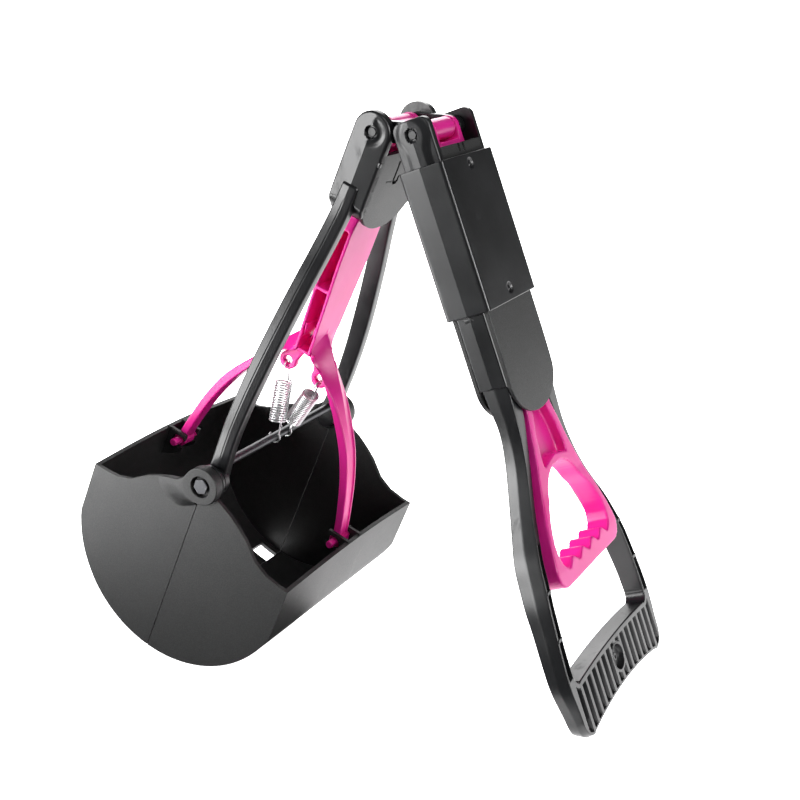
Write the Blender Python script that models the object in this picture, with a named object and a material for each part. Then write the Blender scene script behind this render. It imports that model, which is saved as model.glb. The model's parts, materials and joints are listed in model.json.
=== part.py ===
"""Folding pooper scooper: a two-jaw scoop on a fork, a folding joint and a D-shaped grip.

The tool stands folded like the letter A, on the rim of its scoop and on the corners of its grip.
Each leg has its own frame: the pivot is the origin, s runs down the leg, t is square to it and y
runs along the pivots. A place (s, y, t) of a leg is the point (t, y, -s) of that frame.
"""
import math

import bmesh
import bpy
from mathutils import Matrix, Vector

MM = 0.001

# Fold joint
LINK_LENGTH = 20.1 * MM
FOLD_ANGLE = math.radians(43.5)
EAR_RADIUS = 9.5 * MM
EAR_INNER = 20.8 * MM
EAR_EDGE = 25.0 * MM
EAR_CROWN = 1.0 * MM
EAR_FLAT_TOP = 6.7 * MM
EAR_CORNER = 4.2 * MM
RUNNING_GAP = 0.4 * MM
SEAT_GAP = 0.3 * MM
FOLD_PIN_RADIUS = 2.1 * MM
FOLD_PIN_SINK = 0.6 * MM
PIN_SINK_WALL = 0.8 * MM
PLATE_RADIUS = 4.8 * MM
FLANGE_RADIUS = 5.3 * MM
FLANGE_THICKNESS = 3.8 * MM
BARREL_RADIUS = 5.0 * MM
BARREL_HALF = 10.0 * MM
LINK_WEB_HALF = 3.4 * MM
LINK_WEB_RELIEF = 2.6 * MM
LINK_PIN_RADIUS = 1.8 * MM
LINK_PIN_SINK = 0.3 * MM

# Rods inside the legs
CAVITY_HALF_WIDTH = 15.8 * MM
CAVITY_HALF_DEPTH = 5.75 * MM
BLOCK_TOP = 8.4 * MM
BLOCK_HALF_DEPTH = 7.3 * MM
BRIDGE_TOP = 12.0 * MM
BRIDGE_LENGTH = 12.0 * MM
ROD_TOP = 6.5 * MM
ROD_HALF_WIDTH = 13.0 * MM
ROD_HALF_DEPTH = 5.0 * MM

# Fork
FORK_TONGUE_LENGTH = 48.2 * MM
TONGUE_TIP_LENGTH = 17.2 * MM
TONGUE_HALF_WIDTH = 24.8 * MM
COVER_OUTER = 9.5 * MM
FORK_COVER_TOP = 7.8 * MM
ARM_TOP = 26.0 * MM
ARM_TOP_OUTER = 26.9 * MM
ARM_END_OUTER = 57.0 * MM
ARM_THICKNESS = 6.5 * MM
ARM_HALF_WIDTH = 4.8 * MM
ARM_RIB_HALF = 1.3 * MM
ARM_RIB_HEIGHT = 0.7 * MM
ARM_CHAMFER = 1.0 * MM
ARM_BOW_SHARES = ((0, 0), (0.06, 0.033), (0.12, 0.096), (0.22, 0.256), (0.315, 0.435), (0.41, 0.6),
                  (0.51, 0.757), (0.60, 0.88), (0.70, 0.985), (0.80, 1.045), (0.86, 1.045),
                  (0.93, 1.025), (1, 1))
ARM_WIDTH_SHARES = ((0, 0.88), (0.12, 0.94), (0.315, 0.98), (0.51, 1.0), (0.60, 1.0), (0.70, 0.96),
                    (0.80, 0.92), (0.86, 0.9), (0.93, 0.96), (1, 1.08))
EYE_RADIUS = 8.3 * MM
AXLE_DEPTH = 181.6 * MM
SPRING_ROD_LIFT = 7.6 * MM
SPRING_ROD_DEPTH = AXLE_DEPTH - SPRING_ROD_LIFT
SPRING_ROD_RADIUS = 2.2 * MM
ROD_SEAT_DEPTH = 2.6 * MM

# Scoop
JAW_RADIUS = 61.9 * MM
JAW_DROP = 40.4 * MM
JAW_HALF_OPENING = 60.3 * MM
JAW_RIM_DROP = 25.4 * MM
JAW_HALF_WIDTH = 65.0 * MM
JAW_WALL = 2.2 * MM
JAW_LIP_RISE = 3.4 * MM
JAW_RIM_T_SHARES = (1.0, 0.91, 0.773, 0.642, 0.51, 0.415, 0.3)
JAW_RIM_S_SHARES = (1.0, 1.0, 0.965, 0.83, 0.545, 0.4, 0.255)
JAW_EAR_RADIUS = 9.5 * MM
JAW_BOSS_HEIGHT = 0.7 * MM
PARTING_HALF_GAP = 0.15 * MM
NOTCH_FROM_WALL = 6.5 * MM
NOTCH_WIDTH = 11.0 * MM
NOTCH_DEPTH = 11.0 * MM
BOLT_RADIUS = 2.4 * MM
BOLT_HEAD_RADIUS = 4.2 * MM
BOLT_HEAD_HEIGHT = 1.2 * MM
BOLT_POCKET_RADIUS = 5.2 * MM
BOLT_INNER_OVERHANG = 1.5 * MM
BRACKET_HALF_GAP = 5.0 * MM
BRACKET_THICKNESS = 2.0 * MM
BRACKET_TOP_LIFT = 5.5 * MM
BRACKET_DEPTH = 12.0 * MM
BRACKET_LENGTH = 14.0 * MM
ARM_PIN_DROP = 26.9 * MM
ARM_PIN_OUT = 51.5 * MM
ARM_PIN_RADIUS = 2.4 * MM
SLOT_INWARD = 2.0 * MM
SLOT_OUTWARD = 1.2 * MM
SLOT_HALF_HEIGHT = 3.4 * MM

# Yoke
YOKE_HALF_WIDTH = 15.0 * MM
YOKE_FRONT = 4.4 * MM
YOKE_BACK = 5.0 * MM
SPRING_SPAN = 40.0 * MM
LUG_DEPTH = SPRING_ROD_DEPTH - SPRING_SPAN
YOKE_FOOT_LIFT = 12.0 * MM
YOKE_FOOT = LUG_DEPTH - YOKE_FOOT_LIFT
YOKE_NECK_LENGTH = 11.2 * MM
YOKE_FLANGE_END = YOKE_FOOT - YOKE_NECK_LENGTH
YOKE_PLACE_SHARES = (0.4693, 0.6318, 0.7671)
YOKE_SHOULDER, YOKE_WAIST, YOKE_RIB_DEPTH = (YOKE_FLANGE_END * share for share in YOKE_PLACE_SHARES)
YOKE_END_HALF_WIDTH = 11.6 * MM
YOKE_SKIN = 1.6 * MM
YOKE_WEB_HALF = 1.2 * MM
YOKE_RIB_HALF = 0.9 * MM
YOKE_FOOT_THICKNESS = 1.7 * MM
YOKE_FOOT_HALF_WIDTH = 9.5 * MM
YOKE_FOOT_HALF_DEPTH = 6.6 * MM
LUG_OFFSET = 9.8 * MM
LUG_RADIUS = 5.0 * MM
LUG_HOLE_RADIUS = 2.2 * MM
LUG_HALF_THICKNESS = 1.5 * MM
FLEX_ARM_ROOT_DROP = 0.35 * MM
FLEX_ARM_ROOT = YOKE_FLANGE_END + FLEX_ARM_ROOT_DROP
FLEX_ARM_ROOT_OUT = 3.4 * MM
FLEX_ARM_PATH_S_SHARES = (0, 0.05, 0.11, 0.205, 0.35, 0.5, 0.655, 0.81, 0.923, 1)
FLEX_ARM_PATH_T_SHARES = (0, 0.075, 0.162, 0.303, 0.512, 0.694, 0.827, 0.919, 0.973, 1)
FLEX_ARM_THICKNESS = 4.7 * MM
FLEX_ARM_THICKNESS_SHARES = (0.62, 0.8, 0.98, 1, 1, 1, 0.96, 0.94, 0.92, 0.92)
FLEX_ARM_ROOT_HALF_WIDTH = 11.2 * MM
FLEX_ARM_WIDTH_SHARES = (1, 0.92, 0.83, 0.69, 0.545, 0.465, 0.43, 0.4, 0.385, 0.385)
FLEX_ARM_GROOVE = 0.8 * MM
FLEX_ARM_LIP = 1.3 * MM
FLEX_ARM_BARREL_RADIUS = 3.6 * MM
FLEX_ARM_BARREL_HALF = 4.4 * MM
ARM_PIN_HALF_LENGTH = 10.6 * MM

# Springs
WIRE_RADIUS = 0.4 * MM
COIL_RADIUS = 4.0 * MM
COIL_PITCH = 1.28 * MM
COIL_CURLS = 17
POINTS_PER_CURL = 9
HOOK_RADIUS = 2.8 * MM
ROD_HOOK_RADIUS = 3.0 * MM
SPRING_ROD_OFFSET = 5.6 * MM
HOOK_LEAD = 5.0 * MM

# Handle
HANDLE_LENGTH = 279.6 * MM
GRIP_HOLLOW = 4.4 * MM
SHAFT_HALF_WIDTH = 25.0 * MM
GRIP_HALF_WIDTH = 57.3 * MM
GRIP_END_INSET = 2.6 * MM
GRIP_CORNER = 6.5 * MM
HAND_LENGTH = 143.6 * MM
FLARE_TOP = HANDLE_LENGTH - HAND_LENGTH
FLARE_LENGTH = 119.0 * MM
FLARE_SHARES = ((0, 0), (0.08, 0.012), (0.16, 0.068), (0.244, 0.175), (0.328, 0.314), (0.412, 0.474),
                (0.496, 0.637), (0.58, 0.745), (0.664, 0.843), (0.748, 0.9), (0.832, 0.95),
                (0.916, 0.985), (1, 1))
RAIL_WIDTH = 5.4 * MM
RAIL_WIDTH_SHARES = ((0, 1.7), (0.08, 1.28), (0.16, 1.04), (0.244, 0.95), (0.328, 0.93), (0.5, 0.97),
                     (0.664, 1.05), (0.832, 1.15), (0.916, 1.25), (1, 1.28))
GRIP_DEPTH = 28.4 * MM
WINDOW_END = HANDLE_LENGTH - GRIP_DEPTH
WINDOW_BOW = 2.4 * MM
WINDOW_CORNER = 4.5 * MM
SIDE_DEPTH = 7.2 * MM
SIDE_LEAD = 28.0 * MM
HEEL_RADIUS = 3.2 * MM
SIDE_FRONT_SHARES = ((0.006, 1.0), (0.11, 0.92), (0.176, 0.83), (0.273, 0.69), (0.391, 0.62),
                     (0.506, 0.82), (0.624, 1.0), (1.0, 1.0))
SIDE_BACK_SHARES = ((0, 1.0), (0.11, 0.78), (0.176, 0.64), (0.257, 0.78), (0.332, 0.92), (0.42, 0.99),
                    (0.524, 0.99), (0.612, 0.8), (0.694, 0.61), (0.805, 0.49), (0.974, 0.46))
GROOVE_DEPTH = 2.6 * MM
GROOVE_LIP = 1.5 * MM
RAIL_GROOVE_LENGTH = 61.2 * MM
GROOVE_TOP = WINDOW_END - RAIL_GROOVE_LENGTH
RUNG_PITCH = 25.0 * MM
RUNG_HALF = 0.6 * MM
GRIP_GROOVES = 14
GRIP_RIB = 2.0 * MM
GRIP_BORDER = 3.0 * MM
BOSS_INSET = 17.6 * MM
BOSS_DEPTH = HANDLE_LENGTH - BOSS_INSET
BOSS_RADIUS = 7.0 * MM
BOSS_BORE = 4.9 * MM
BOSS_BORE_DEPTH = 4.0 * MM
HANDLE_TONGUE_LENGTH = 136.2 * MM
HANDLE_COVER_TOP = 8.8 * MM
COVER_NOTCH = 1.6 * MM
COVER_NOTCH_LENGTH = 4.2 * MM

# Sleeve
SLEEVE_TOP = 14.6 * MM
SLEEVE_LENGTH = 69.3 * MM
SLEEVE_WALL = 1.5 * MM
SLEEVE_MARK_RADIUS = 1.7 * MM
SLEEVE_MARK_DEPTH = 1.0 * MM
SLEEVE_MARK_INSET = 5.2 * MM

# Trigger
TRIGGER_ROOM = 37.4 * MM
TRIGGER_LENGTH = WINDOW_END - TRIGGER_ROOM
TRIGGER_HALF_WIDTH = 38.8 * MM
TRIGGER_HAND_LENGTH = 82.8 * MM
TRIGGER_FLARE_TOP = TRIGGER_LENGTH - TRIGGER_HAND_LENGTH
TRIGGER_FLARE_LENGTH = 75.0 * MM
TRIGGER_FLARE_SHARES = ((0, 0), (0.08, 0.03), (0.187, 0.135), (0.32, 0.245), (0.453, 0.4),
                        (0.587, 0.562), (0.72, 0.748), (0.853, 0.9), (0.947, 0.98), (1, 1))
TRIGGER_CORNER = 8.0 * MM
TRIGGER_DEPTH = 9.8 * MM
TRIGGER_FRONT_SHARES = ((0, 0.51), (0.468, 0.51), (0.617, 0.71), (0.725, 0.735), (0.804, 0.755),
                        (0.865, 0.867), (0.912, 0.94), (0.963, 1.0), (1.0, 1.0))
TRIGGER_BACK_SHARES = ((0, 0.51), (0.608, 0.51), (0.702, 0.44), (0.819, 0.31), (0.935, 0.2), (1.0, 0.2))
FINGER_REACH = 50.8 * MM
FINGER_TOP = TRIGGER_LENGTH - FINGER_REACH
FINGER_HALF_WIDTH = 31.4 * MM
FINGER_LENGTH = 42.0 * MM
FINGER_SHARES = ((0, 0.13), (0.03, 0.26), (0.075, 0.38), (0.17, 0.52), (0.3, 0.64), (0.46, 0.82),
                 (0.68, 0.97), (0.83, 1.0), (0.95, 0.965))
SCALLOP_PITCH = 12.5 * MM
SCALLOP_HEIGHT = 1.9 * MM
RECESS_LEAD = 31.0 * MM
RECESS_TOP = TRIGGER_FLARE_TOP - RECESS_LEAD
RECESS_RIM = 1.4 * MM
RECESS_END = FINGER_TOP - RECESS_RIM
RECESS_BOW = 3.0 * MM
RECESS_HALF_WIDTH = 14.0 * MM
RECESS_SHARES = ((0, 0.53), (0.6, 0.58), (0.76, 0.86), (0.93, 1.0), (1, 0.97))
RECESS_FLOOR = 2.2 * MM

CUT_OVERRUN = 5.0 * MM
WELD_DISTANCE = 0.002 * MM
ROUND_SEGMENTS = 24
SMALL_SEGMENTS = 16

COLOURS = {
    "black": ((0.018, 0.019, 0.021, 1.0), 0.42, 0.0),
    "grain": ((0.045, 0.046, 0.050, 1.0), 0.62, 0.0),
    "pink": ((0.78, 0.015, 0.25, 1.0), 0.36, 0.0),
    "steel": ((0.72, 0.73, 0.74, 1.0), 0.22, 1.0),
    "dark_steel": ((0.10, 0.10, 0.11, 1.0), 0.35, 1.0),
}


def clear_scene():
    for item in list(bpy.data.objects):
        bpy.data.objects.remove(item, do_unlink=True)


def material(name):
    """One Principled material for each colour name."""
    found = bpy.data.materials.get(name)
    if found:
        return found
    colour, roughness, metallic = COLOURS[name]
    made = bpy.data.materials.new(name)
    made.use_nodes = True
    shader = made.node_tree.nodes["Principled BSDF"]
    shader.inputs["Base Color"].default_value = colour
    shader.inputs["Roughness"].default_value = roughness
    shader.inputs["Metallic"].default_value = metallic
    made.diffuse_color = colour
    return made


def leg_point(s, y, t):
    return Vector((t, y, -s))


def read_shares(shares, at):
    """Value at one place of a hand-made table, as a smooth curve through its points."""
    xs = [row[0] for row in shares]
    ys = [row[1] for row in shares]
    if at <= xs[0]:
        return ys[0]
    if at >= xs[-1]:
        return ys[-1]
    k = max(i for i in range(len(xs) - 1) if xs[i] <= at)
    slopes = []
    for i in range(len(xs)):
        low = max(i - 1, 0)
        high = min(i + 1, len(xs) - 1)
        slopes.append((ys[high] - ys[low]) / (xs[high] - xs[low]))
    width = xs[k + 1] - xs[k]
    u = (at - xs[k]) / width
    h00 = 2 * u ** 3 - 3 * u ** 2 + 1
    h10 = u ** 3 - 2 * u ** 2 + u
    h01 = -2 * u ** 3 + 3 * u ** 2
    h11 = u ** 3 - u ** 2
    return h00 * ys[k] + h10 * width * slopes[k] + h01 * ys[k + 1] + h11 * width * slopes[k + 1]


def arc(centre, radius, start, end, steps):
    """Points of a round arc in a plane, angles in degrees from the first axis."""
    turn = [math.radians(start + (end - start) * i / steps) for i in range(steps + 1)]
    return [(centre[0] + radius * math.cos(a), centre[1] + radius * math.sin(a)) for a in turn]


def mesh_object(name, points, faces):
    mesh = bpy.data.meshes.new(name)
    mesh.from_pydata([tuple(p) for p in points], [], faces)
    work = bmesh.new()
    work.from_mesh(mesh)
    bmesh.ops.recalc_face_normals(work, faces=work.faces)
    work.to_mesh(mesh)
    work.free()
    made = bpy.data.objects.new(name, mesh)
    bpy.context.collection.objects.link(made)
    return made


def prism(name, outline, low, high, place):
    """Closed outline of (a, b) pairs, drawn out from low to high. place(a, b, depth) gives points."""
    count = len(outline)
    points = [place(a, b, low) for a, b in outline] + [place(a, b, high) for a, b in outline]
    faces = [list(range(count)), list(range(2 * count - 1, count - 1, -1))]
    for i in range(count):
        j = (i + 1) % count
        faces.append([i, j, count + j, count + i])
    return mesh_object(name, points, faces)


def side_prism(name, outline, low, high):
    """Outline of (s, t) pairs, drawn out along y."""
    return prism(name, outline, low, high, lambda s, t, y: leg_point(s, y, t))


def front_prism(name, outline, low, high):
    """Outline of (s, y) pairs, drawn out along t."""
    return prism(name, outline, low, high, lambda s, y, t: leg_point(s, y, t))


def end_prism(name, outline, low, high):
    """Outline of (y, t) pairs, drawn out along s."""
    return prism(name, outline, low, high, lambda y, t, s: leg_point(s, y, t))


def round_bar(name, s, t, radius, low, high, segments=ROUND_SEGMENTS):
    """Round bar along y, its centre at (s, t)."""
    outline = arc((s, t), radius, 0, 360, segments)[:-1]
    return side_prism(name, outline, low, high)


def box(name, s_range, y_range, t_range):
    outline = [(s_range[0], y_range[0]), (s_range[1], y_range[0]),
               (s_range[1], y_range[1]), (s_range[0], y_range[1])]
    return front_prism(name, outline, t_range[0], t_range[1])


def loft(name, rings):
    """Closed solid through rings of equal point count, with flat ends."""
    count = len(rings[0])
    points = [p for ring in rings for p in ring]
    faces = [list(range(count)), [len(points) - 1 - i for i in range(count)]]
    for k in range(len(rings) - 1):
        for i in range(count):
            j = (i + 1) % count
            faces.append([k * count + i, k * count + j, (k + 1) * count + j, (k + 1) * count + i])
    return mesh_object(name, points, faces)


def mirrored(item, name):
    """Copy on the other side of the plane y = 0."""
    mesh = item.data.copy()
    mesh.transform(Matrix.Diagonal((1, -1, 1, 1)))
    mesh.flip_normals()
    made = bpy.data.objects.new(name, mesh)
    bpy.context.collection.objects.link(made)
    return made


def weld(mesh):
    """Merge points that lie closer than any real detail."""
    work = bmesh.new()
    work.from_mesh(mesh)
    bmesh.ops.remove_doubles(work, verts=work.verts, dist=WELD_DISTANCE)
    bmesh.ops.dissolve_degenerate(work, edges=work.edges, dist=WELD_DISTANCE)
    work.to_mesh(mesh)
    work.free()


def combine(base, tools, operation):
    """Boolean of base with each tool in turn. The tools are used up."""
    for tool in tools:
        step = base.modifiers.new(operation, "BOOLEAN")
        step.operation = operation
        step.solver = "EXACT"
        step.object = tool
        bpy.context.view_layer.update()
        graph = bpy.context.evaluated_depsgraph_get()
        shaped = bpy.data.meshes.new_from_object(base.evaluated_get(graph))
        base.modifiers.clear()
        weld(shaped)
        old = base.data
        base.data = shaped
        bpy.data.meshes.remove(old)
        bpy.data.objects.remove(tool, do_unlink=True)
    return base


def join(base, *tools):
    return combine(base, tools, "UNION")


def cut(base, *tools):
    return combine(base, tools, "DIFFERENCE")


def keep(base, *tools):
    return combine(base, tools, "INTERSECT")


def finish(item, name, colour, frame, origin=None, smooth_angle=30):
    """Name, colour and parent one finished piece, with its origin on its joint's axis."""
    item.name = name
    item.data.name = name
    item.data.materials.clear()
    item.data.materials.append(material(colour))
    if origin is not None:
        item.data.transform(Matrix.Translation(-origin))
        item.location = origin
    item.data.shade_smooth()
    item.data.set_sharp_from_angle(angle=math.radians(smooth_angle))
    item.parent = frame
    return item


def empty(name, parent=None):
    made = bpy.data.objects.new(name, None)
    bpy.context.collection.objects.link(made)
    made.parent = parent
    return made


# Fold joint pieces

def ear_outline(flat_top, half_depth_below, end):
    """Ear and cheek seen from the side, in (s, t)."""
    if flat_top:
        top = -EAR_FLAT_TOP
        inner = EAR_RADIUS - EAR_CORNER
        outline = arc((top + EAR_CORNER, -inner), EAR_CORNER, 270, 180, 5)
        outline += arc((top + EAR_CORNER, inner), EAR_CORNER, 180, 90, 5)
    else:
        outline = arc((0, 0), EAR_RADIUS, 270, 90, 16)
    if half_depth_below < EAR_RADIUS:
        outline += [(BLOCK_TOP, EAR_RADIUS), (BLOCK_TOP, half_depth_below)]
    outline += [(end, half_depth_below), (end, -half_depth_below)]
    if half_depth_below < EAR_RADIUS:
        outline += [(BLOCK_TOP, -half_depth_below), (BLOCK_TOP, -EAR_RADIUS)]
    return outline


def crowned_slab(name, inner, top, end):
    """Slab on the far side with a long crease down the middle of its outer face."""
    half = EAR_RADIUS + CUT_OVERRUN
    edge = EAR_EDGE + EAR_CROWN - EAR_CROWN * half / EAR_RADIUS
    section = [(inner, -half), (edge, -half), (EAR_EDGE + EAR_CROWN, 0), (edge, half), (inner, half)]
    return end_prism(name, section, top, end)


def ear(name, flat_top, half_depth_below, end):
    """Far ear of one leg with its cheek and its pin hole."""
    outline = ear_outline(flat_top, half_depth_below, end)
    solid = side_prism(name, outline, EAR_INNER, EAR_EDGE + EAR_CROWN + CUT_OVERRUN)
    slab = crowned_slab("slab", EAR_INNER - CUT_OVERRUN, -EAR_RADIUS - CUT_OVERRUN, end + CUT_OVERRUN)
    return keep(solid, slab)


def pin_cutters():
    """Hole for the far fold pin and the wider sink round its end."""
    hole = round_bar("hole", 0, 0, FOLD_PIN_RADIUS + SEAT_GAP, EAR_INNER - CUT_OVERRUN,
                     EAR_EDGE + CUT_OVERRUN, SMALL_SEGMENTS)
    sink = round_bar("sink", 0, 0, FOLD_PIN_RADIUS + PIN_SINK_WALL, EAR_EDGE - FOLD_PIN_SINK,
                     EAR_EDGE + CUT_OVERRUN, ROUND_SEGMENTS)
    return hole, sink


def link_place(frame_x):
    """Place on the link: distance along it from the lower pivot, height square to it."""
    return lambda along, height, y: Vector((along - frame_x, y, height))


def build_link(frame):
    """Two black side plates and the four pins that they turn on. The frame is at the upper pivot."""
    inner = EAR_INNER - RUNNING_GAP - FLANGE_THICKNESS - RUNNING_GAP - RUNNING_GAP
    outer = EAR_INNER - RUNNING_GAP
    outline = arc((0, 0), PLATE_RADIUS, 90, 270, 12) + arc((LINK_LENGTH, 0), PLATE_RADIUS, -90, 90, 12)
    place = link_place(LINK_LENGTH)
    plate = prism("plate", outline, inner, outer, place)
    for along in (0, LINK_LENGTH):
        hole = arc((along, 0), FOLD_PIN_RADIUS + SEAT_GAP, 0, 360, SMALL_SEGMENTS)[:-1]
        cut(plate, prism("hole", hole, inner - CUT_OVERRUN, outer + CUT_OVERRUN, place))
    finish(mirrored(plate, "near"), "link_plate_near", "black", frame)
    finish(plate, "link_plate_far", "black", frame)
    for label, along in (("lower", 0), ("upper", LINK_LENGTH)):
        outline = arc((along, 0), FOLD_PIN_RADIUS, 0, 360, SMALL_SEGMENTS)[:-1]
        pin = prism("pin", outline, inner, EAR_EDGE - FOLD_PIN_SINK, place)
        finish(mirrored(pin, "near"), "fold_pin_%s_near" % label, "black", frame)
        finish(pin, "fold_pin_%s_far" % label, "black", frame)


def build_inner_link(frame):
    """Pink link between yoke and trigger, a barrel at each end, and the yoke's link pin."""
    place = link_place(0)
    lower = prism("lower", arc((0, 0), BARREL_RADIUS, 0, 360, ROUND_SEGMENTS)[:-1],
                  -BARREL_HALF, BARREL_HALF, place)
    upper = prism("upper", arc((LINK_LENGTH, 0), BARREL_RADIUS, 0, 360, ROUND_SEGMENTS)[:-1],
                  -BARREL_HALF, BARREL_HALF, place)
    web = [(0, -LINK_WEB_HALF), (LINK_LENGTH, -LINK_WEB_HALF), (LINK_LENGTH, LINK_WEB_HALF),
           (0, LINK_WEB_HALF)]
    web_half = BARREL_HALF - LINK_WEB_RELIEF
    body = join(lower, upper, prism("web", web, -web_half, web_half, place))
    bore = arc((0, 0), LINK_PIN_RADIUS + SEAT_GAP, 0, 360, SMALL_SEGMENTS)[:-1]
    cut(body, prism("bore", bore, -BARREL_HALF - CUT_OVERRUN, BARREL_HALF + CUT_OVERRUN, place))
    finish(body, "inner_link", "pink", frame)
    half = BARREL_HALF + RUNNING_GAP + FLANGE_THICKNESS - LINK_PIN_SINK
    pin = prism("pin", arc((0, 0), LINK_PIN_RADIUS, 0, 360, SMALL_SEGMENTS)[:-1], -half, half, place)
    finish(pin, "yoke_link_pin", "steel", frame)


def clevis(name, with_bore):
    """Two round flanges at the top of a rod. They hold the inner link's barrel between them."""
    inner = BARREL_HALF + RUNNING_GAP
    outer = inner + FLANGE_THICKNESS
    outline = arc((0, 0), FLANGE_RADIUS, 270, 90, 14)
    outline += [(ROD_TOP + FLANGE_RADIUS, FLANGE_RADIUS), (ROD_TOP + FLANGE_RADIUS, -FLANGE_RADIUS)]
    flange = side_prism(name, outline, inner, outer)
    if with_bore:
        cut(flange, round_bar("bore", 0, 0, LINK_PIN_RADIUS + SEAT_GAP, inner - CUT_OVERRUN,
                              outer + CUT_OVERRUN, SMALL_SEGMENTS))
    return flange


# Fork pieces

def tongue_edge(half_width, end, steps):
    """Round end of a tongue in (s, y), from its far side to its near side."""
    start = end - TONGUE_TIP_LENGTH
    outline = []
    for i in range(steps + 1):
        turn = math.pi * i / steps
        outline.append((start + TONGUE_TIP_LENGTH * math.sin(turn), half_width * math.cos(turn)))
    return outline


def fork_arm():
    """Far arm of the fork: it bows outward and has a raised rib down its outer face."""
    rings = []
    steps = 18
    length = AXLE_DEPTH - ARM_TOP
    for i in range(steps + 1):
        share = i / steps
        s = ARM_TOP + length * share
        outer = ARM_TOP_OUTER + (ARM_END_OUTER - ARM_TOP_OUTER) * read_shares(ARM_BOW_SHARES, share)
        half = ARM_HALF_WIDTH * read_shares(ARM_WIDTH_SHARES, share)
        inner = outer - ARM_THICKNESS
        face = outer - ARM_RIB_HEIGHT
        ring = [(-half, inner), (-half, face - ARM_CHAMFER), (-half + ARM_CHAMFER, face),
                (-ARM_RIB_HALF, face), (-ARM_RIB_HALF, outer), (ARM_RIB_HALF, outer),
                (ARM_RIB_HALF, face), (half - ARM_CHAMFER, face), (half, face - ARM_CHAMFER),
                (half, inner)]
        rings.append([leg_point(s, y, t) for t, y in ring])
    return loft("arm", rings)


def guide_block():
    """Guides of the yoke's rod between the fork's cheeks, with a bridge across front and back."""
    half = EAR_INNER + SEAT_GAP
    end = FORK_TONGUE_LENGTH - TONGUE_TIP_LENGTH
    block = box("guide", (BLOCK_TOP, end), (-half, half), (-BLOCK_HALF_DEPTH, BLOCK_HALF_DEPTH))
    widths = (-CAVITY_HALF_WIDTH, CAVITY_HALF_WIDTH)
    deep = BLOCK_HALF_DEPTH + CUT_OVERRUN
    way = box("way", (BLOCK_TOP - CUT_OVERRUN, end + CUT_OVERRUN), widths,
              (-CAVITY_HALF_DEPTH, CAVITY_HALF_DEPTH))
    above = box("above", (BLOCK_TOP - CUT_OVERRUN, BRIDGE_TOP), widths, (-deep, deep))
    below = box("below", (BRIDGE_TOP + BRIDGE_LENGTH, end + CUT_OVERRUN), widths, (-deep, deep))
    return cut(block, way, above, below)


def build_fork(frame):
    """Ears, cheeks, bridges and bowed arms of the fork in one moulding, and its two covers."""
    half = ear("fork", False, EAR_RADIUS, FORK_TONGUE_LENGTH)
    tongue = [(-EAR_RADIUS - CUT_OVERRUN, TONGUE_HALF_WIDTH + CUT_OVERRUN)]
    tongue += [(FORK_TONGUE_LENGTH - TONGUE_TIP_LENGTH, TONGUE_HALF_WIDTH + CUT_OVERRUN)]
    tongue += tongue_edge(EAR_EDGE + EAR_CROWN, FORK_TONGUE_LENGTH, 24)[:13]
    tongue += [(-EAR_RADIUS - CUT_OVERRUN, 0)]
    keep(half, front_prism("tongue", tongue, -EAR_RADIUS - CUT_OVERRUN, EAR_RADIUS + CUT_OVERRUN))
    join(half, fork_arm())
    boss_outer = JAW_HALF_WIDTH - JAW_WALL - RUNNING_GAP
    join(half, round_bar("eye", AXLE_DEPTH, 0, EYE_RADIUS, ARM_END_OUTER - ARM_THICKNESS, boss_outer))
    cut(half, *pin_cutters())
    cut(half, round_bar("bolt_hole", AXLE_DEPTH, 0, BOLT_RADIUS + SEAT_GAP,
                        ARM_END_OUTER - ARM_THICKNESS - CUT_OVERRUN, boss_outer + CUT_OVERRUN, SMALL_SEGMENTS))
    seat = ARM_END_OUTER - ARM_THICKNESS + ROD_SEAT_DEPTH
    cut(half, round_bar("rod_hole", SPRING_ROD_DEPTH, 0, SPRING_ROD_RADIUS + SEAT_GAP,
                        ARM_TOP_OUTER, seat, SMALL_SEGMENTS))
    body = join(guide_block(), half, mirrored(half, "near_half"))
    finish(body, "fork_frame", "black", frame)
    cover_half = EAR_INNER - SEAT_GAP
    edge = [p for p in tongue_edge(TONGUE_HALF_WIDTH, FORK_TONGUE_LENGTH, 28) if abs(p[1]) < cover_half]
    outline = [(FORK_COVER_TOP, cover_half)] + edge + [(FORK_COVER_TOP, -cover_half)]
    inner = BLOCK_HALF_DEPTH + SEAT_GAP
    finish(front_prism("cover", outline, inner, COVER_OUTER), "fork_front_cover", "grain", frame)
    finish(front_prism("cover", outline, -COVER_OUTER, -inner), "fork_rear_cover", "grain", frame)


def build_spring_rod(frame):
    half = ARM_END_OUTER - ARM_THICKNESS + ROD_SEAT_DEPTH - SEAT_GAP
    rod = round_bar("rod", SPRING_ROD_DEPTH, 0, SPRING_ROD_RADIUS, -half, half, SMALL_SEGMENTS)
    finish(rod, "spring_rod", "dark_steel", frame)


# Scoop pieces

def jaw_profile(radius, half_opening, top):
    """Outer line of one jaw in (s, t), from the parting line round to its rim."""
    centre = AXLE_DEPTH + JAW_DROP
    start = math.degrees(math.asin(min(1, PARTING_HALF_GAP / radius)))
    end = math.degrees(math.asin(half_opening / radius))
    outline = arc((centre, 0), radius, start, end, 20)
    outline.append((top, half_opening))
    return outline


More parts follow.
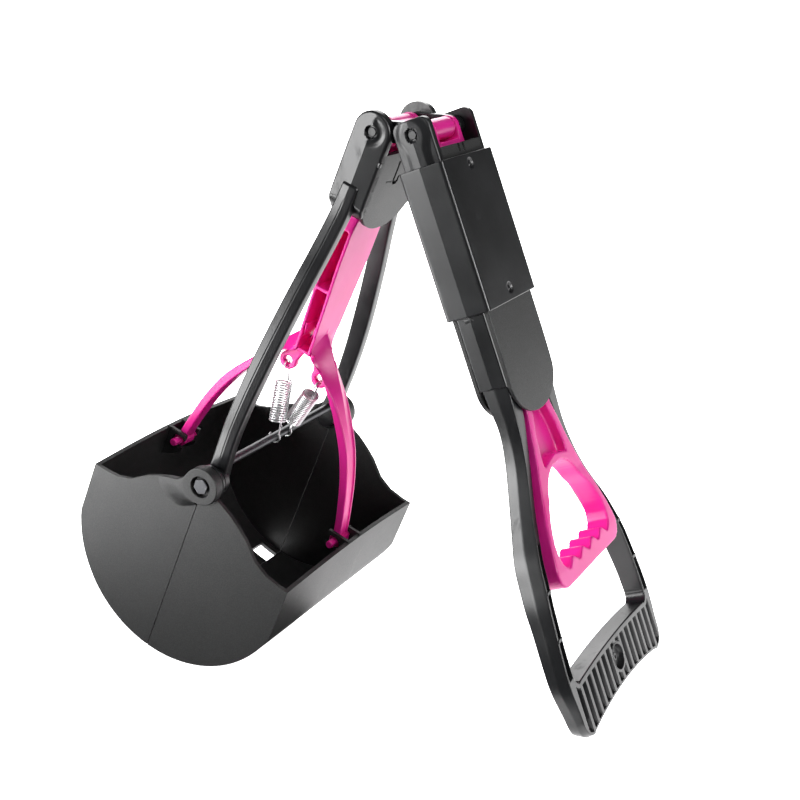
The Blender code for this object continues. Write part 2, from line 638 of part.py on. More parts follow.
def build_jaw(frame, name, outward, axle):
    """One half of the scoop. The rear jaw's ears lie outside those of the front jaw."""
    front = outward > 0
    rim_s = AXLE_DEPTH + JAW_RIM_DROP
    outline = jaw_profile(JAW_RADIUS, JAW_HALF_OPENING, rim_s)
    outline += [(AXLE_DEPTH + JAW_RIM_DROP * b, JAW_HALF_OPENING * a)
                for a, b in list(zip(JAW_RIM_T_SHARES, JAW_RIM_S_SHARES))[1:]]
    outline += [(AXLE_DEPTH + JAW_EAR_RADIUS / 3, JAW_EAR_RADIUS - SEAT_GAP),
                (AXLE_DEPTH + JAW_EAR_RADIUS / 3, PARTING_HALF_GAP)]
    outline = [(s, t * outward) for s, t in outline]
    body = side_prism(name, outline, -JAW_HALF_WIDTH, JAW_HALF_WIDTH)
    inner_radius = JAW_RADIUS - JAW_WALL
    inner = jaw_profile(inner_radius, JAW_HALF_OPENING - JAW_WALL, AXLE_DEPTH - CUT_OVERRUN)
    inner += [(AXLE_DEPTH - CUT_OVERRUN, -CUT_OVERRUN),
              (AXLE_DEPTH + JAW_DROP + inner_radius, -CUT_OVERRUN)]
    inner = [(s, t * outward) for s, t in inner]
    wall_inner = JAW_HALF_WIDTH - JAW_WALL
    cut(body, side_prism("inside", inner, -wall_inner, wall_inner))
    lip = [(rim_s + JAW_WALL, -JAW_HALF_WIDTH), (rim_s + JAW_WALL, JAW_HALF_WIDTH)]
    for i in range(17):
        share = 1 - 2 * i / 16
        rise = JAW_LIP_RISE * math.cos(share * math.pi / 2)
        lip.append((rim_s - rise, share * JAW_HALF_WIDTH))
    depths = sorted((outward * (JAW_HALF_OPENING - JAW_WALL), outward * JAW_HALF_OPENING))
    join(body, front_prism("lip", lip, *depths))
    boss_top = JAW_HALF_WIDTH + SEAT_GAP + JAW_WALL + JAW_BOSS_HEIGHT
    for side in (1, -1):
        if front:
            ends = sorted((side * wall_inner, side * JAW_HALF_WIDTH))
            join(body, round_bar("ear", AXLE_DEPTH, 0, JAW_EAR_RADIUS, *ends))
        else:
            ends = sorted((side * (wall_inner - CUT_OVERRUN), side * (JAW_HALF_WIDTH + CUT_OVERRUN)))
            cut(body, round_bar("room", AXLE_DEPTH, 0, JAW_EAR_RADIUS + RUNNING_GAP, *ends))
            join(body, rear_ear(side, boss_top))
        reach = JAW_HALF_WIDTH + CUT_OVERRUN + CUT_OVERRUN
        ends = sorted((side * (wall_inner - CUT_OVERRUN), side * reach))
        cut(body, round_bar("hole", AXLE_DEPTH, 0, BOLT_RADIUS + SEAT_GAP, *ends, SMALL_SEGMENTS))
        if not front:
            pocket = sorted((side * (boss_top - BOLT_HEAD_HEIGHT - SEAT_GAP), side * reach))
            cut(body, round_bar("pocket", AXLE_DEPTH, 0, BOLT_POCKET_RADIUS, *pocket))
        join(body, bracket(side, outward))
    if not front:
        bottom = AXLE_DEPTH + JAW_DROP + JAW_RADIUS
        for side in (1, -1):
            start = JAW_HALF_WIDTH - NOTCH_FROM_WALL
            widths = sorted((side * start, side * (start - NOTCH_WIDTH)))
            cut(body, box("notch", (bottom - NOTCH_DEPTH, bottom + CUT_OVERRUN), widths,
                          (-NOTCH_DEPTH, CUT_OVERRUN)))
    finish(body, name, "grain", frame, axle)


def rear_ear(side, boss_top):
    """Ear of the rear jaw: a boss outside the front jaw's ear, and a neck that steps out to it."""
    low = JAW_HALF_WIDTH + SEAT_GAP
    boss = round_bar("boss", AXLE_DEPTH, 0, JAW_EAR_RADIUS, *sorted((side * low, side * boss_top)))
    top = low + JAW_WALL
    root = JAW_EAR_RADIUS + RUNNING_GAP
    far = root + JAW_EAR_RADIUS
    start = -BOLT_POCKET_RADIUS
    section = [(low, start), (top, start), (top, -root), (JAW_HALF_WIDTH, -far),
               (JAW_HALF_WIDTH - JAW_WALL / 2, -far), (JAW_HALF_WIDTH - JAW_WALL / 2, -root), (low, -root)]
    section = [(side * y, t) for y, t in section]
    neck = end_prism("neck", section, AXLE_DEPTH - JAW_EAR_RADIUS, AXLE_DEPTH + JAW_EAR_RADIUS + JAW_WALL)
    rim = [(AXLE_DEPTH - JAW_EAR_RADIUS / 2, 0), (AXLE_DEPTH, -JAW_EAR_RADIUS / 2)]
    rim += [(AXLE_DEPTH + JAW_EAR_RADIUS / 3, -JAW_EAR_RADIUS)]
    rim += [(AXLE_DEPTH + JAW_RIM_DROP * b, -JAW_HALF_OPENING * a)
            for a, b in list(zip(JAW_RIM_T_SHARES, JAW_RIM_S_SHARES))[:3:-1]]
    rim += [(AXLE_DEPTH + JAW_RIM_DROP, -JAW_HALF_OPENING / 2), (AXLE_DEPTH + JAW_EAR_RADIUS, 0)]
    widths = sorted((side * (JAW_HALF_WIDTH - JAW_WALL), side * (boss_top + CUT_OVERRUN)))
    keep(neck, side_prism("rim", rim, *widths))
    return join(boss, neck)


def bracket(side, outward):
    """One of the two ribs that hold the pin of a pink arm, with its slot."""
    pin_s = AXLE_DEPTH + ARM_PIN_DROP
    top = pin_s - BRACKET_TOP_LIFT
    wall = JAW_HALF_OPENING - JAW_WALL / 2
    outline = [(top, wall), (top, wall - BRACKET_DEPTH), (top + BRACKET_LENGTH * 0.7, wall - BRACKET_DEPTH),
               (top + BRACKET_LENGTH, wall - BRACKET_DEPTH * 0.6), (top + BRACKET_LENGTH * 1.3, wall)]
    outline = [(s, t * outward) for s, t in outline]
    ends = sorted((side * BRACKET_HALF_GAP, side * (BRACKET_HALF_GAP + BRACKET_THICKNESS)))
    rib = side_prism("rib", outline, *ends)
    reach = ARM_PIN_RADIUS + SEAT_GAP
    half = SLOT_HALF_HEIGHT
    slot = arc((pin_s, ARM_PIN_OUT - SLOT_INWARD - reach + half), half, -180, 0, 8)
    slot += arc((pin_s, ARM_PIN_OUT + SLOT_OUTWARD + reach - half), half, 0, 180, 8)
    slot = [(s, t * outward) for s, t in slot]
    wide = sorted((side * (BRACKET_HALF_GAP - BRACKET_THICKNESS), side * (BRACKET_HALF_GAP + CUT_OVERRUN)))
    return cut(rib, side_prism("slot", slot, *wide))


def build_pivot_bolts(frame):
    """One bolt at each end of the axle line: hex head in the rear ear's pocket, shank in the arm."""
    head_top = JAW_HALF_WIDTH + SEAT_GAP + JAW_WALL + JAW_BOSS_HEIGHT - SEAT_GAP
    head_low = head_top - BOLT_HEAD_HEIGHT + SEAT_GAP
    end = ARM_END_OUTER - ARM_THICKNESS + BOLT_INNER_OVERHANG
    head = round_bar("head", AXLE_DEPTH, 0, BOLT_HEAD_RADIUS, head_low, head_top, 6)
    shank = round_bar("shank", AXLE_DEPTH, 0, BOLT_RADIUS, end, head_low + SEAT_GAP, SMALL_SEGMENTS)
    bolt = join(head, shank)
    finish(mirrored(bolt, "near"), "pivot_bolt_near", "dark_steel", frame)
    finish(bolt, "pivot_bolt_far", "dark_steel", frame)


# Yoke pieces

def build_yoke(frame):
    """Pink yoke: clevis, rod, ribbed body and the two rings that the springs hook into."""
    right = [(ROD_TOP, ROD_HALF_WIDTH), (YOKE_SHOULDER - YOKE_HALF_WIDTH / 2, ROD_HALF_WIDTH),
             (YOKE_SHOULDER, YOKE_HALF_WIDTH), (YOKE_WAIST, YOKE_HALF_WIDTH),
             (YOKE_FLANGE_END, YOKE_END_HALF_WIDTH)]
    outline = right + [(s, -y) for s, y in reversed(right)]
    body = front_prism("yoke", outline, -YOKE_BACK, YOKE_FRONT)
    low_t = -YOKE_BACK + YOKE_SKIN
    high_t = YOKE_FRONT - YOKE_SKIN
    upper = (YOKE_SHOULDER, YOKE_RIB_DEPTH - YOKE_RIB_HALF)
    lower = (YOKE_RIB_DEPTH + YOKE_RIB_HALF, YOKE_FLANGE_END + CUT_OVERRUN)
    for side in (1, -1):
        widths = sorted((side * YOKE_WEB_HALF, side * (YOKE_HALF_WIDTH + CUT_OVERRUN)))
        for span in (upper, lower):
            cut(body, box("pocket", span, widths, (low_t, high_t)))
        flange = clevis("flange", True)
        join(body, flange if side > 0 else flip(flange))
    foot_top = YOKE_FOOT - YOKE_FOOT_THICKNESS
    neck = FLEX_ARM_ROOT_OUT - FLEX_ARM_THICKNESS / 2
    neck_end = YOKE_FLANGE_END + 2 * YOKE_SKIN
    web = [(YOKE_FLANGE_END - YOKE_SKIN, neck), (neck_end, neck), (foot_top + SEAT_GAP, YOKE_FOOT_HALF_DEPTH),
           (foot_top + SEAT_GAP, -YOKE_FOOT_HALF_DEPTH), (neck_end, -neck),
           (YOKE_FLANGE_END - YOKE_SKIN, -neck)]
    web = side_prism("web", web, -YOKE_WEB_HALF, YOKE_WEB_HALF)
    foot = box("foot", (foot_top, YOKE_FOOT), (-YOKE_FOOT_HALF_WIDTH, YOKE_FOOT_HALF_WIDTH),
               (-YOKE_FOOT_HALF_DEPTH, YOKE_FOOT_HALF_DEPTH))
    join(body, web, foot)
    for side in (1, -1):
        ring = round_bar("ring", LUG_DEPTH, side * LUG_OFFSET, LUG_RADIUS, -LUG_HALF_THICKNESS,
                         LUG_HALF_THICKNESS)
        stem = [(foot_top, side * YOKE_WEB_HALF), (foot_top, side * YOKE_FOOT_HALF_DEPTH * 0.9),
                (LUG_DEPTH - LUG_RADIUS * 0.8, side * (LUG_OFFSET + LUG_RADIUS * 0.5)),
                (LUG_DEPTH, side * (LUG_OFFSET - LUG_RADIUS * 0.8))]
        join(ring, side_prism("stem", stem, -LUG_HALF_THICKNESS, LUG_HALF_THICKNESS))
        join(body, ring)
        cut(body, round_bar("eye", LUG_DEPTH, side * LUG_OFFSET, LUG_HOLE_RADIUS,
                            -LUG_RADIUS, LUG_RADIUS, SMALL_SEGMENTS))
    finish(body, "yoke", "pink", frame, leg_point(0, 0, 0))


def flip(item):
    """Turn a far piece into its near twin."""
    made = mirrored(item, item.name)
    bpy.data.objects.remove(item, do_unlink=True)
    return made


def smooth_path(points, steps):
    """Curve through the points, each an equal-length tuple."""
    path = []
    for k in range(len(points) - 1):
        before = points[max(k - 1, 0)]
        after = points[min(k + 2, len(points) - 1)]
        for i in range(steps):
            u = i / steps
            row = []
            for a, b, c, d in zip(before, points[k], points[k + 1], after):
                row.append(0.5 * (2 * b + (c - a) * u + (2 * a - 5 * b + 4 * c - d) * u * u
                                  + (3 * b - a - 3 * c + d) * u ** 3))
            path.append(tuple(row))
    path.append(tuple(points[-1]))
    return path


def build_flex_arm(frame, name, outward):
    """Springy pink arm from the yoke to a jaw, with a shallow groove and a cross pin."""
    pin_s = AXLE_DEPTH + ARM_PIN_DROP
    table = []
    for a, b, c, d in zip(FLEX_ARM_PATH_S_SHARES, FLEX_ARM_PATH_T_SHARES, FLEX_ARM_THICKNESS_SHARES,
                          FLEX_ARM_WIDTH_SHARES):
        table.append((FLEX_ARM_ROOT + (pin_s - FLEX_ARM_ROOT) * a,
                      FLEX_ARM_ROOT_OUT + (ARM_PIN_OUT - FLEX_ARM_ROOT_OUT) * b,
                      FLEX_ARM_THICKNESS * c, FLEX_ARM_ROOT_HALF_WIDTH * d))
    path = smooth_path(table, 3)
    rings = []
    for i, (s, t, thickness, half) in enumerate(path):
        ahead = path[min(i + 1, len(path) - 1)]
        back = path[max(i - 1, 0)]
        run = Vector((ahead[0] - back[0], ahead[1] - back[1])).normalized()
        if i == 0:
            run = Vector((1, 0))
        normal = Vector((-run.y, run.x))
        section = [(-thickness / 2, -half), (thickness / 2, -half), (thickness / 2, -half + FLEX_ARM_LIP),
                   (thickness / 2 - FLEX_ARM_GROOVE, -half + FLEX_ARM_LIP + FLEX_ARM_GROOVE),
                   (thickness / 2 - FLEX_ARM_GROOVE, half - FLEX_ARM_LIP - FLEX_ARM_GROOVE),
                   (thickness / 2, half - FLEX_ARM_LIP), (thickness / 2, half), (-thickness / 2, half)]
        ring = []
        for depth, y in section:
            ring.append(leg_point(s + normal.x * depth, y, (t + normal.y * depth) * outward))
        rings.append(ring)
    arm = loft(name, rings)
    barrel = round_bar("barrel", pin_s, ARM_PIN_OUT * outward, FLEX_ARM_BARREL_RADIUS,
                       -FLEX_ARM_BARREL_HALF, FLEX_ARM_BARREL_HALF)
    pin = round_bar("pin", pin_s, ARM_PIN_OUT * outward, ARM_PIN_RADIUS, -ARM_PIN_HALF_LENGTH,
                    ARM_PIN_HALF_LENGTH, SMALL_SEGMENTS)
    join(arm, barrel, pin)
    finish(arm, name, "pink", frame, leg_point(FLEX_ARM_ROOT, 0, FLEX_ARM_ROOT_OUT * outward))


# Springs

def spring_points(outward):
    """Centre line of one spring: a hook through the yoke's ring, the curls, a hook round the rod."""
    top = leg_point(LUG_DEPTH + LUG_HOLE_RADIUS + (LUG_RADIUS - LUG_HOLE_RADIUS) / 2, 0, LUG_OFFSET * outward)
    low = leg_point(SPRING_ROD_DEPTH, SPRING_ROD_OFFSET * outward, 0)
    axis = (low - top).normalized()
    side = Vector((0, 1, 0))
    side = (side - axis * side.dot(axis)).normalized()
    cross = axis.cross(side)
    points = []
    for i in range(9):
        turn = math.radians(200 - 200 * i / 8)
        points.append(top - axis * HOOK_RADIUS * math.sin(turn) + side * HOOK_RADIUS * math.cos(turn))
    coil = COIL_PITCH * COIL_CURLS
    slack = ((low - top).length - coil) / 2
    start = top + axis * slack
    points.append(top + axis * slack * 0.5 + side * HOOK_RADIUS * 0.8)
    for i in range(COIL_CURLS * POINTS_PER_CURL + 1):
        share = i / POINTS_PER_CURL
        turn = 2 * math.pi * share
        ring = side * math.cos(turn) + cross * math.sin(turn)
        points.append(start + axis * COIL_PITCH * share + ring * COIL_RADIUS)
    end = points[-1]
    hook_side = Vector((1, 0, 0))
    hook_down = Vector((0, 0, -1))
    turns = [math.radians(-30 + 250 * i / 9) for i in range(10)]
    hook = [low + hook_side * ROD_HOOK_RADIUS * math.cos(a) + hook_down * ROD_HOOK_RADIUS * math.sin(a)
            for a in turns]
    middle = (end + hook[0]) / 2
    middle += (low - end).normalized() * WIRE_RADIUS
    points.append(middle)
    points += hook
    return points


def least_gap(points, radius, skip):
    """Smallest free distance between parts of the wire that aren't neighbours along it."""
    best = None
    for i, a in enumerate(points):
        for b in points[i + skip:]:
            gap = (a - b).length - 2 * radius
            if best is None or gap < best:
                best = gap
    return best


def build_spring(frame, name, outward):
    points = spring_points(outward)
    curve = bpy.data.curves.new(name, "CURVE")
    curve.dimensions = "3D"
    curve.bevel_depth = WIRE_RADIUS
    curve.bevel_resolution = 1
    curve.use_fill_caps = True
    line = curve.splines.new("POLY")
    line.points.add(len(points) - 1)
    for spot, place in zip(line.points, points):
        spot.co = (place.x, place.y, place.z, 1)
    wire = bpy.data.objects.new(name, curve)
    bpy.context.collection.objects.link(wire)
    curve.materials.append(material("steel"))
    wire.parent = frame
    gap = least_gap(points, WIRE_RADIUS, POINTS_PER_CURL - 2)
    print("%s: least gap to itself %.2f mm" % (name, gap / MM))


# Handle pieces

def rail_outer(s):
    share = (s - FLARE_TOP) / FLARE_LENGTH
    return SHAFT_HALF_WIDTH + (GRIP_HALF_WIDTH - SHAFT_HALF_WIDTH) * read_shares(FLARE_SHARES, share)


def rail_inner(s):
    share = (s - FLARE_TOP) / FLARE_LENGTH
    if share < 0:
        return CAVITY_HALF_WIDTH
    return rail_outer(s) - RAIL_WIDTH * read_shares(RAIL_WIDTH_SHARES, share)


def flare_steps():
    return [FLARE_TOP + FLARE_LENGTH * row[0] for row in FLARE_SHARES]


def grip_end(y):
    """Hollow end of the grip, in s, at the distance y from its middle."""
    share = abs(y) / (GRIP_HALF_WIDTH - GRIP_CORNER)
    return HANDLE_LENGTH - GRIP_HOLLOW * (1 - min(share, 1) ** 2)


def window_end(y):
    """Lower edge of the hand opening, in s."""
    share = abs(y) / (GRIP_HALF_WIDTH - RAIL_WIDTH)
    return WINDOW_END + WINDOW_BOW * share ** 2


def mirror_outline(right):
    """Closed outline from the points of its far side, in (s, y)."""
    return right + [(s, -y) for s, y in reversed(right)]


def handle_outline():
    """Front view of the handle frame: two rails that flare out and a grip that joins them."""
    outer = [(BLOCK_TOP, SHAFT_HALF_WIDTH)]
    outer += [(s, rail_outer(s)) for s in flare_steps()]
    end_half = GRIP_HALF_WIDTH - GRIP_END_INSET
    end_s = grip_end(end_half)
    outer += arc((end_s - GRIP_CORNER, end_half - GRIP_CORNER), GRIP_CORNER, 90, 0, 6)
    outer += [(grip_end(y), y) for y in [(end_half - GRIP_CORNER) * (1 - i / 8) for i in range(1, 8)]]
    outer = mirror_outline(outer)
    inner = [(BLOCK_TOP, CAVITY_HALF_WIDTH)]
    inner += [(s, rail_inner(s)) for s in flare_steps()[:-1]]
    half = rail_inner(window_end(0) - WINDOW_CORNER)
    inner += arc((window_end(half) - WINDOW_CORNER, half - WINDOW_CORNER), WINDOW_CORNER, 90, 0, 5)
    inner += [(window_end(y), y) for y in [(half - WINDOW_CORNER) * (1 - i / 8) for i in range(1, 8)]]
    inner = mirror_outline(inner)
    return outer + list(reversed(inner))


def side_profile(front, back, size, start, end, heel=0.0, offset=0.0):
    """Side view in (s, t) from two tables, each of places between start and end and shares of the depth."""
    line = [(start + (end - start) * place, size * share - offset) for place, share in front]
    line.append((end + CUT_OVERRUN, line[-1][1]))
    rear = [(start + (end - start) * place, -size * share) for place, share in back]
    if heel:
        rear += arc((end - heel, rear[-1][1] + heel), heel, -90, 0, 6)[:-1]
    rear.append((end + CUT_OVERRUN, rear[-1][1]))
    if start:
        line.insert(0, (0, line[0][1]))
        rear.insert(0, (0, rear[0][1]))
    return line + list(reversed(rear))


def groove_outlines():
    """Long grooves: one down each rail with rungs left across it, and those of the ribbed grip."""
    tools = []
    for side in (1, -1):
        start = GROOVE_TOP
        while start < WINDOW_END - RUNG_PITCH / 2:
            end = min(start + RUNG_PITCH, WINDOW_END)
            span = [start + RUNG_HALF, (start + end) / 2, end - RUNG_HALF]
            outline = [(s, side * (rail_outer(s) - GROOVE_LIP)) for s in span]
            outline += [(s, side * (rail_inner(s) + GROOVE_LIP)) for s in reversed(span)]
            tools.append(outline)
            start += RUNG_PITCH
    half = GRIP_HALF_WIDTH - GRIP_END_INSET - GROOVE_LIP
    pitch = 2 * half / GRIP_GROOVES
    for i in range(GRIP_GROOVES):
        low = -half + pitch * i + GRIP_RIB / 2
        high = low + pitch - GRIP_RIB
        middle = (low + high) / 2
        if max(abs(low), abs(high)) > GRIP_HALF_WIDTH - 2 * GRIP_CORNER:
            end = grip_end(middle) - GRIP_BORDER
        else:
            end = grip_end(middle) - GRIP_BORDER / 2
        top = max(window_end(low), window_end(high)) + GRIP_BORDER
        tools.append([(top, low), (top, high), (end, high), (end, low)])
    return tools


def build_handle(frame):
    """Handle frame: front view crossed with the curved side view, then ears, bridges and grooves."""
    body = front_prism("handle", handle_outline(), -2 * SIDE_DEPTH, 2 * SIDE_DEPTH)
    side_start = FLARE_TOP - SIDE_LEAD
    profile = side_profile(SIDE_FRONT_SHARES, SIDE_BACK_SHARES, SIDE_DEPTH, side_start, HANDLE_LENGTH,
                           HEEL_RADIUS)
    keep(body, side_prism("profile", profile, -GRIP_HALF_WIDTH - CUT_OVERRUN, GRIP_HALF_WIDTH + CUT_OVERRUN))
    floor = side_profile(SIDE_FRONT_SHARES, SIDE_BACK_SHARES, SIDE_DEPTH, side_start, HANDLE_LENGTH,
                         offset=GROOVE_DEPTH)
    for outline in groove_outlines():
        groove = front_prism("groove", outline, 0, 2 * SIDE_DEPTH)
        cut(groove, side_prism("floor", floor, -GRIP_HALF_WIDTH - CUT_OVERRUN, GRIP_HALF_WIDTH + CUT_OVERRUN))
        cut(body, groove)
    ring = arc((BOSS_DEPTH, 0), BOSS_RADIUS, 0, 360, ROUND_SEGMENTS)[:-1]
    join(body, front_prism("boss", ring, 0, SIDE_DEPTH + SEAT_GAP))
    bore = arc((BOSS_DEPTH, 0), BOSS_BORE, 0, 360, ROUND_SEGMENTS)[:-1]
    cut(body, front_prism("bore", bore, SIDE_DEPTH - BOSS_BORE_DEPTH, 2 * SIDE_DEPTH))
    far_ear = ear("ear", True, BLOCK_HALF_DEPTH, FLARE_TOP - TONGUE_TIP_LENGTH)
    cut(far_ear, *pin_cutters())
    near_ear = mirrored(far_ear, "near_ear")
    join(body, far_ear, near_ear)
    for side in (1, -1):
        depths = sorted((side * CAVITY_HALF_DEPTH, side * BLOCK_HALF_DEPTH))
        join(body, box("bridge", (BRIDGE_TOP, BRIDGE_TOP + BRIDGE_LENGTH),
                       (-CAVITY_HALF_WIDTH - SEAT_GAP, CAVITY_HALF_WIDTH + SEAT_GAP), depths))
    finish(body, "handle_frame", "black", frame)
    outline = [(HANDLE_COVER_TOP, TONGUE_HALF_WIDTH)]
    outline += tongue_edge(TONGUE_HALF_WIDTH, HANDLE_TONGUE_LENGTH, 24)
    outline += [(HANDLE_COVER_TOP, -TONGUE_HALF_WIDTH)]
    inner = BLOCK_HALF_DEPTH + SEAT_GAP
    front = front_prism("cover", outline, inner, COVER_OUTER)
    for side in (1, -1):
        widths = sorted((side * COVER_NOTCH, side * 2 * COVER_NOTCH))
        cut(front, box("notch", (HANDLE_COVER_TOP - CUT_OVERRUN, HANDLE_COVER_TOP + COVER_NOTCH_LENGTH),
                       widths, (COVER_OUTER - COVER_NOTCH / 2, COVER_OUTER + CUT_OVERRUN)))
    finish(front, "handle_front_cover", "grain", frame)
    finish(front_prism("cover", outline, -COVER_OUTER, -inner), "handle_rear_cover", "grain", frame)


def build_sleeve(frame):
    """Locking sleeve: a flat tube with a crease down each side."""
    clear = RUNNING_GAP
    inner_half = COVER_OUTER + clear
    inner_edge = EAR_EDGE + clear
    end = SLEEVE_TOP + SLEEVE_LENGTH

    def section(grow):
        edge = inner_edge + grow
        half = inner_half + grow
        return [(edge, -half), (edge + EAR_CROWN, 0), (edge, half), (-edge, half),
                (-edge - EAR_CROWN, 0), (-edge, -half)]

    body = end_prism("sleeve", section(SLEEVE_WALL), SLEEVE_TOP, end)
    cut(body, end_prism("bore", section(0), SLEEVE_TOP - CUT_OVERRUN, end + CUT_OVERRUN))
    face = inner_half + SLEEVE_WALL
    for s in (SLEEVE_TOP + SLEEVE_MARK_INSET, end - SLEEVE_MARK_INSET):
        mark = arc((s, 0), SLEEVE_MARK_RADIUS, 0, 360, SMALL_SEGMENTS)[:-1]
        cut(body, front_prism("mark", mark, face - SLEEVE_MARK_DEPTH, face + CUT_OVERRUN))
    finish(body, "sleeve", "black", frame, leg_point(SLEEVE_TOP, 0, 0))


def trigger_half(s):
    share = (s - TRIGGER_FLARE_TOP) / TRIGGER_FLARE_LENGTH
    return ROD_HALF_WIDTH + (TRIGGER_HALF_WIDTH - ROD_HALF_WIDTH) * read_shares(TRIGGER_FLARE_SHARES, share)


def finger_outline():
    """Finger opening: a round-topped arch with a scalloped lower edge, in (s, y)."""
    right = [(FINGER_TOP + FINGER_LENGTH * a, FINGER_HALF_WIDTH * b) for a, b in FINGER_SHARES]
    base = FINGER_TOP + FINGER_LENGTH
    steps = 18
    reach = SCALLOP_PITCH * 2.25
    for i in range(steps):
        y = reach * (1 - i / steps)
        right.append((base + SCALLOP_HEIGHT * math.cos(2 * math.pi * y / SCALLOP_PITCH), y))
    middle = [(base + SCALLOP_HEIGHT, 0)]
    return right + middle + [(s, -y) for s, y in reversed(right)]


def build_trigger(frame):
    """Pink trigger: clevis and rod at the top, finger loop below."""
    right = [(ROD_TOP, ROD_HALF_WIDTH)]
    right += [(TRIGGER_FLARE_TOP + TRIGGER_FLARE_LENGTH * row[0],
               trigger_half(TRIGGER_FLARE_TOP + TRIGGER_FLARE_LENGTH * row[0]))
              for row in TRIGGER_FLARE_SHARES[:-1]]
    right += arc((TRIGGER_LENGTH - TRIGGER_CORNER, TRIGGER_HALF_WIDTH - TRIGGER_CORNER), TRIGGER_CORNER,
                 90, 0, 6)
    body = front_prism("trigger", mirror_outline(right), -2 * TRIGGER_DEPTH, 2 * TRIGGER_DEPTH)
    profile = side_profile(TRIGGER_FRONT_SHARES, TRIGGER_BACK_SHARES, TRIGGER_DEPTH, 0, TRIGGER_LENGTH)
    reach = TRIGGER_HALF_WIDTH + CUT_OVERRUN
    keep(body, side_prism("profile", profile, -reach, reach))
    cut(body, front_prism("fingers", finger_outline(), -2 * TRIGGER_DEPTH, 2 * TRIGGER_DEPTH))
    length = RECESS_END - RECESS_TOP
    recess = [(RECESS_TOP + length * a, RECESS_HALF_WIDTH * b) for a, b in RECESS_SHARES]
    recess += [(RECESS_END - RECESS_BOW * 0.6, RECESS_HALF_WIDTH * 0.5)]
    outline = recess + [(RECESS_END - RECESS_BOW, 0)] + [(s, -y) for s, y in reversed(recess)]
    cut(body, front_prism("recess", outline, RECESS_FLOOR, 2 * TRIGGER_DEPTH))
    join(body, clevis("flange", False), flip(clevis("flange", False)))
    finish(body, "trigger", "pink", frame, leg_point(0, 0, 0))


# Stand

def local_points(frame):
    """All points of the pieces that hang on one frame, in that frame."""
    points = []
    graph = bpy.context.evaluated_depsgraph_get()
    for item in frame.children:
        if item.type != "MESH":
            continue
        shape = item.evaluated_get(graph).data
        points += [item.matrix_basis @ v.co for v in shape.vertices]
    return points


def lowest(points, lean):
    turn = Matrix.Rotation(lean, 3, "Y")
    return min((turn @ p).z for p in points)


def stand(root, fork, handle, link, inner):
    """Lean both legs so that the scoop and the grip rest on one floor, then centre the whole."""
    half = FOLD_ANGLE / 2
    fork_points = local_points(fork)
    handle_points = local_points(handle)
    low, high = -half, half
    for _ in range(50):
        tilt = (low + high) / 2
        rise = -LINK_LENGTH * math.sin(tilt)
        gap = lowest(fork_points, half + tilt) - lowest(handle_points, tilt - half) - rise
        if gap > 0:
            high = tilt
        else:
            low = tilt
    fork.rotation_euler = (0, half + tilt, 0)
    handle.rotation_euler = (0, tilt - half, 0)
    upper = Vector((LINK_LENGTH * math.cos(tilt), 0, -LINK_LENGTH * math.sin(tilt)))
    handle.location = upper
    link.rotation_euler = (0, tilt, 0)
    link.location = upper
    inner.rotation_euler = (0, tilt, 0)
    bpy.context.view_layer.update()
    graph = bpy.context.evaluated_depsgraph_get()
    corners = []
    for item in bpy.context.scene.objects:
        if item.type == "MESH":
            corners += [item.matrix_world @ v.co for v in item.evaluated_get(graph).data.vertices]
    middle = (min(p.x for p in corners) + max(p.x for p in corners)) / 2
    root.location = (-middle, 0, -min(p.z for p in corners))
    bpy.context.view_layer.update()
    print("tilt %.3f degrees" % math.degrees(tilt))
    print("lower pivot %s" % [round(v, 5) for v in fork.matrix_world.translation])
    print("upper pivot %s" % [round(v, 5) for v in handle.matrix_world.translation])


def build():
    clear_scene()
    root = empty("scooper")
    fork = empty("fork_axes", root)
    handle = empty("handle_axes", root)
    link = empty("link_axes", root)
    inner = empty("inner_link_axes", root)
    axle = leg_point(AXLE_DEPTH, 0, 0)
    build_fork(fork)
    build_spring_rod(fork)
    build_jaw(fork, "jaw_front", 1, axle)
    build_jaw(fork, "jaw_rear", -1, axle)
    build_pivot_bolts(fork)
    build_yoke(fork)
    build_flex_arm(fork, "yoke_arm_front", 1)
    build_flex_arm(fork, "yoke_arm_rear", -1)
    build_spring(fork, "spring_front", 1)
    build_spring(fork, "spring_rear", -1)
    build_handle(handle)
    build_sleeve(handle)
    build_trigger(handle)
    build_link(link)
    build_inner_link(inner)
    stand(root, fork, handle, link, inner)


build()
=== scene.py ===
"""Looks of the folding scooper: moulded black and pink plastic, bright springs, dark bolts.

The legs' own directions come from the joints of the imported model. A place (s, y, t) of a leg is
s down the leg from its fold pin, y along the pins and t square to both, as in the part's source.
"""
import json
import math

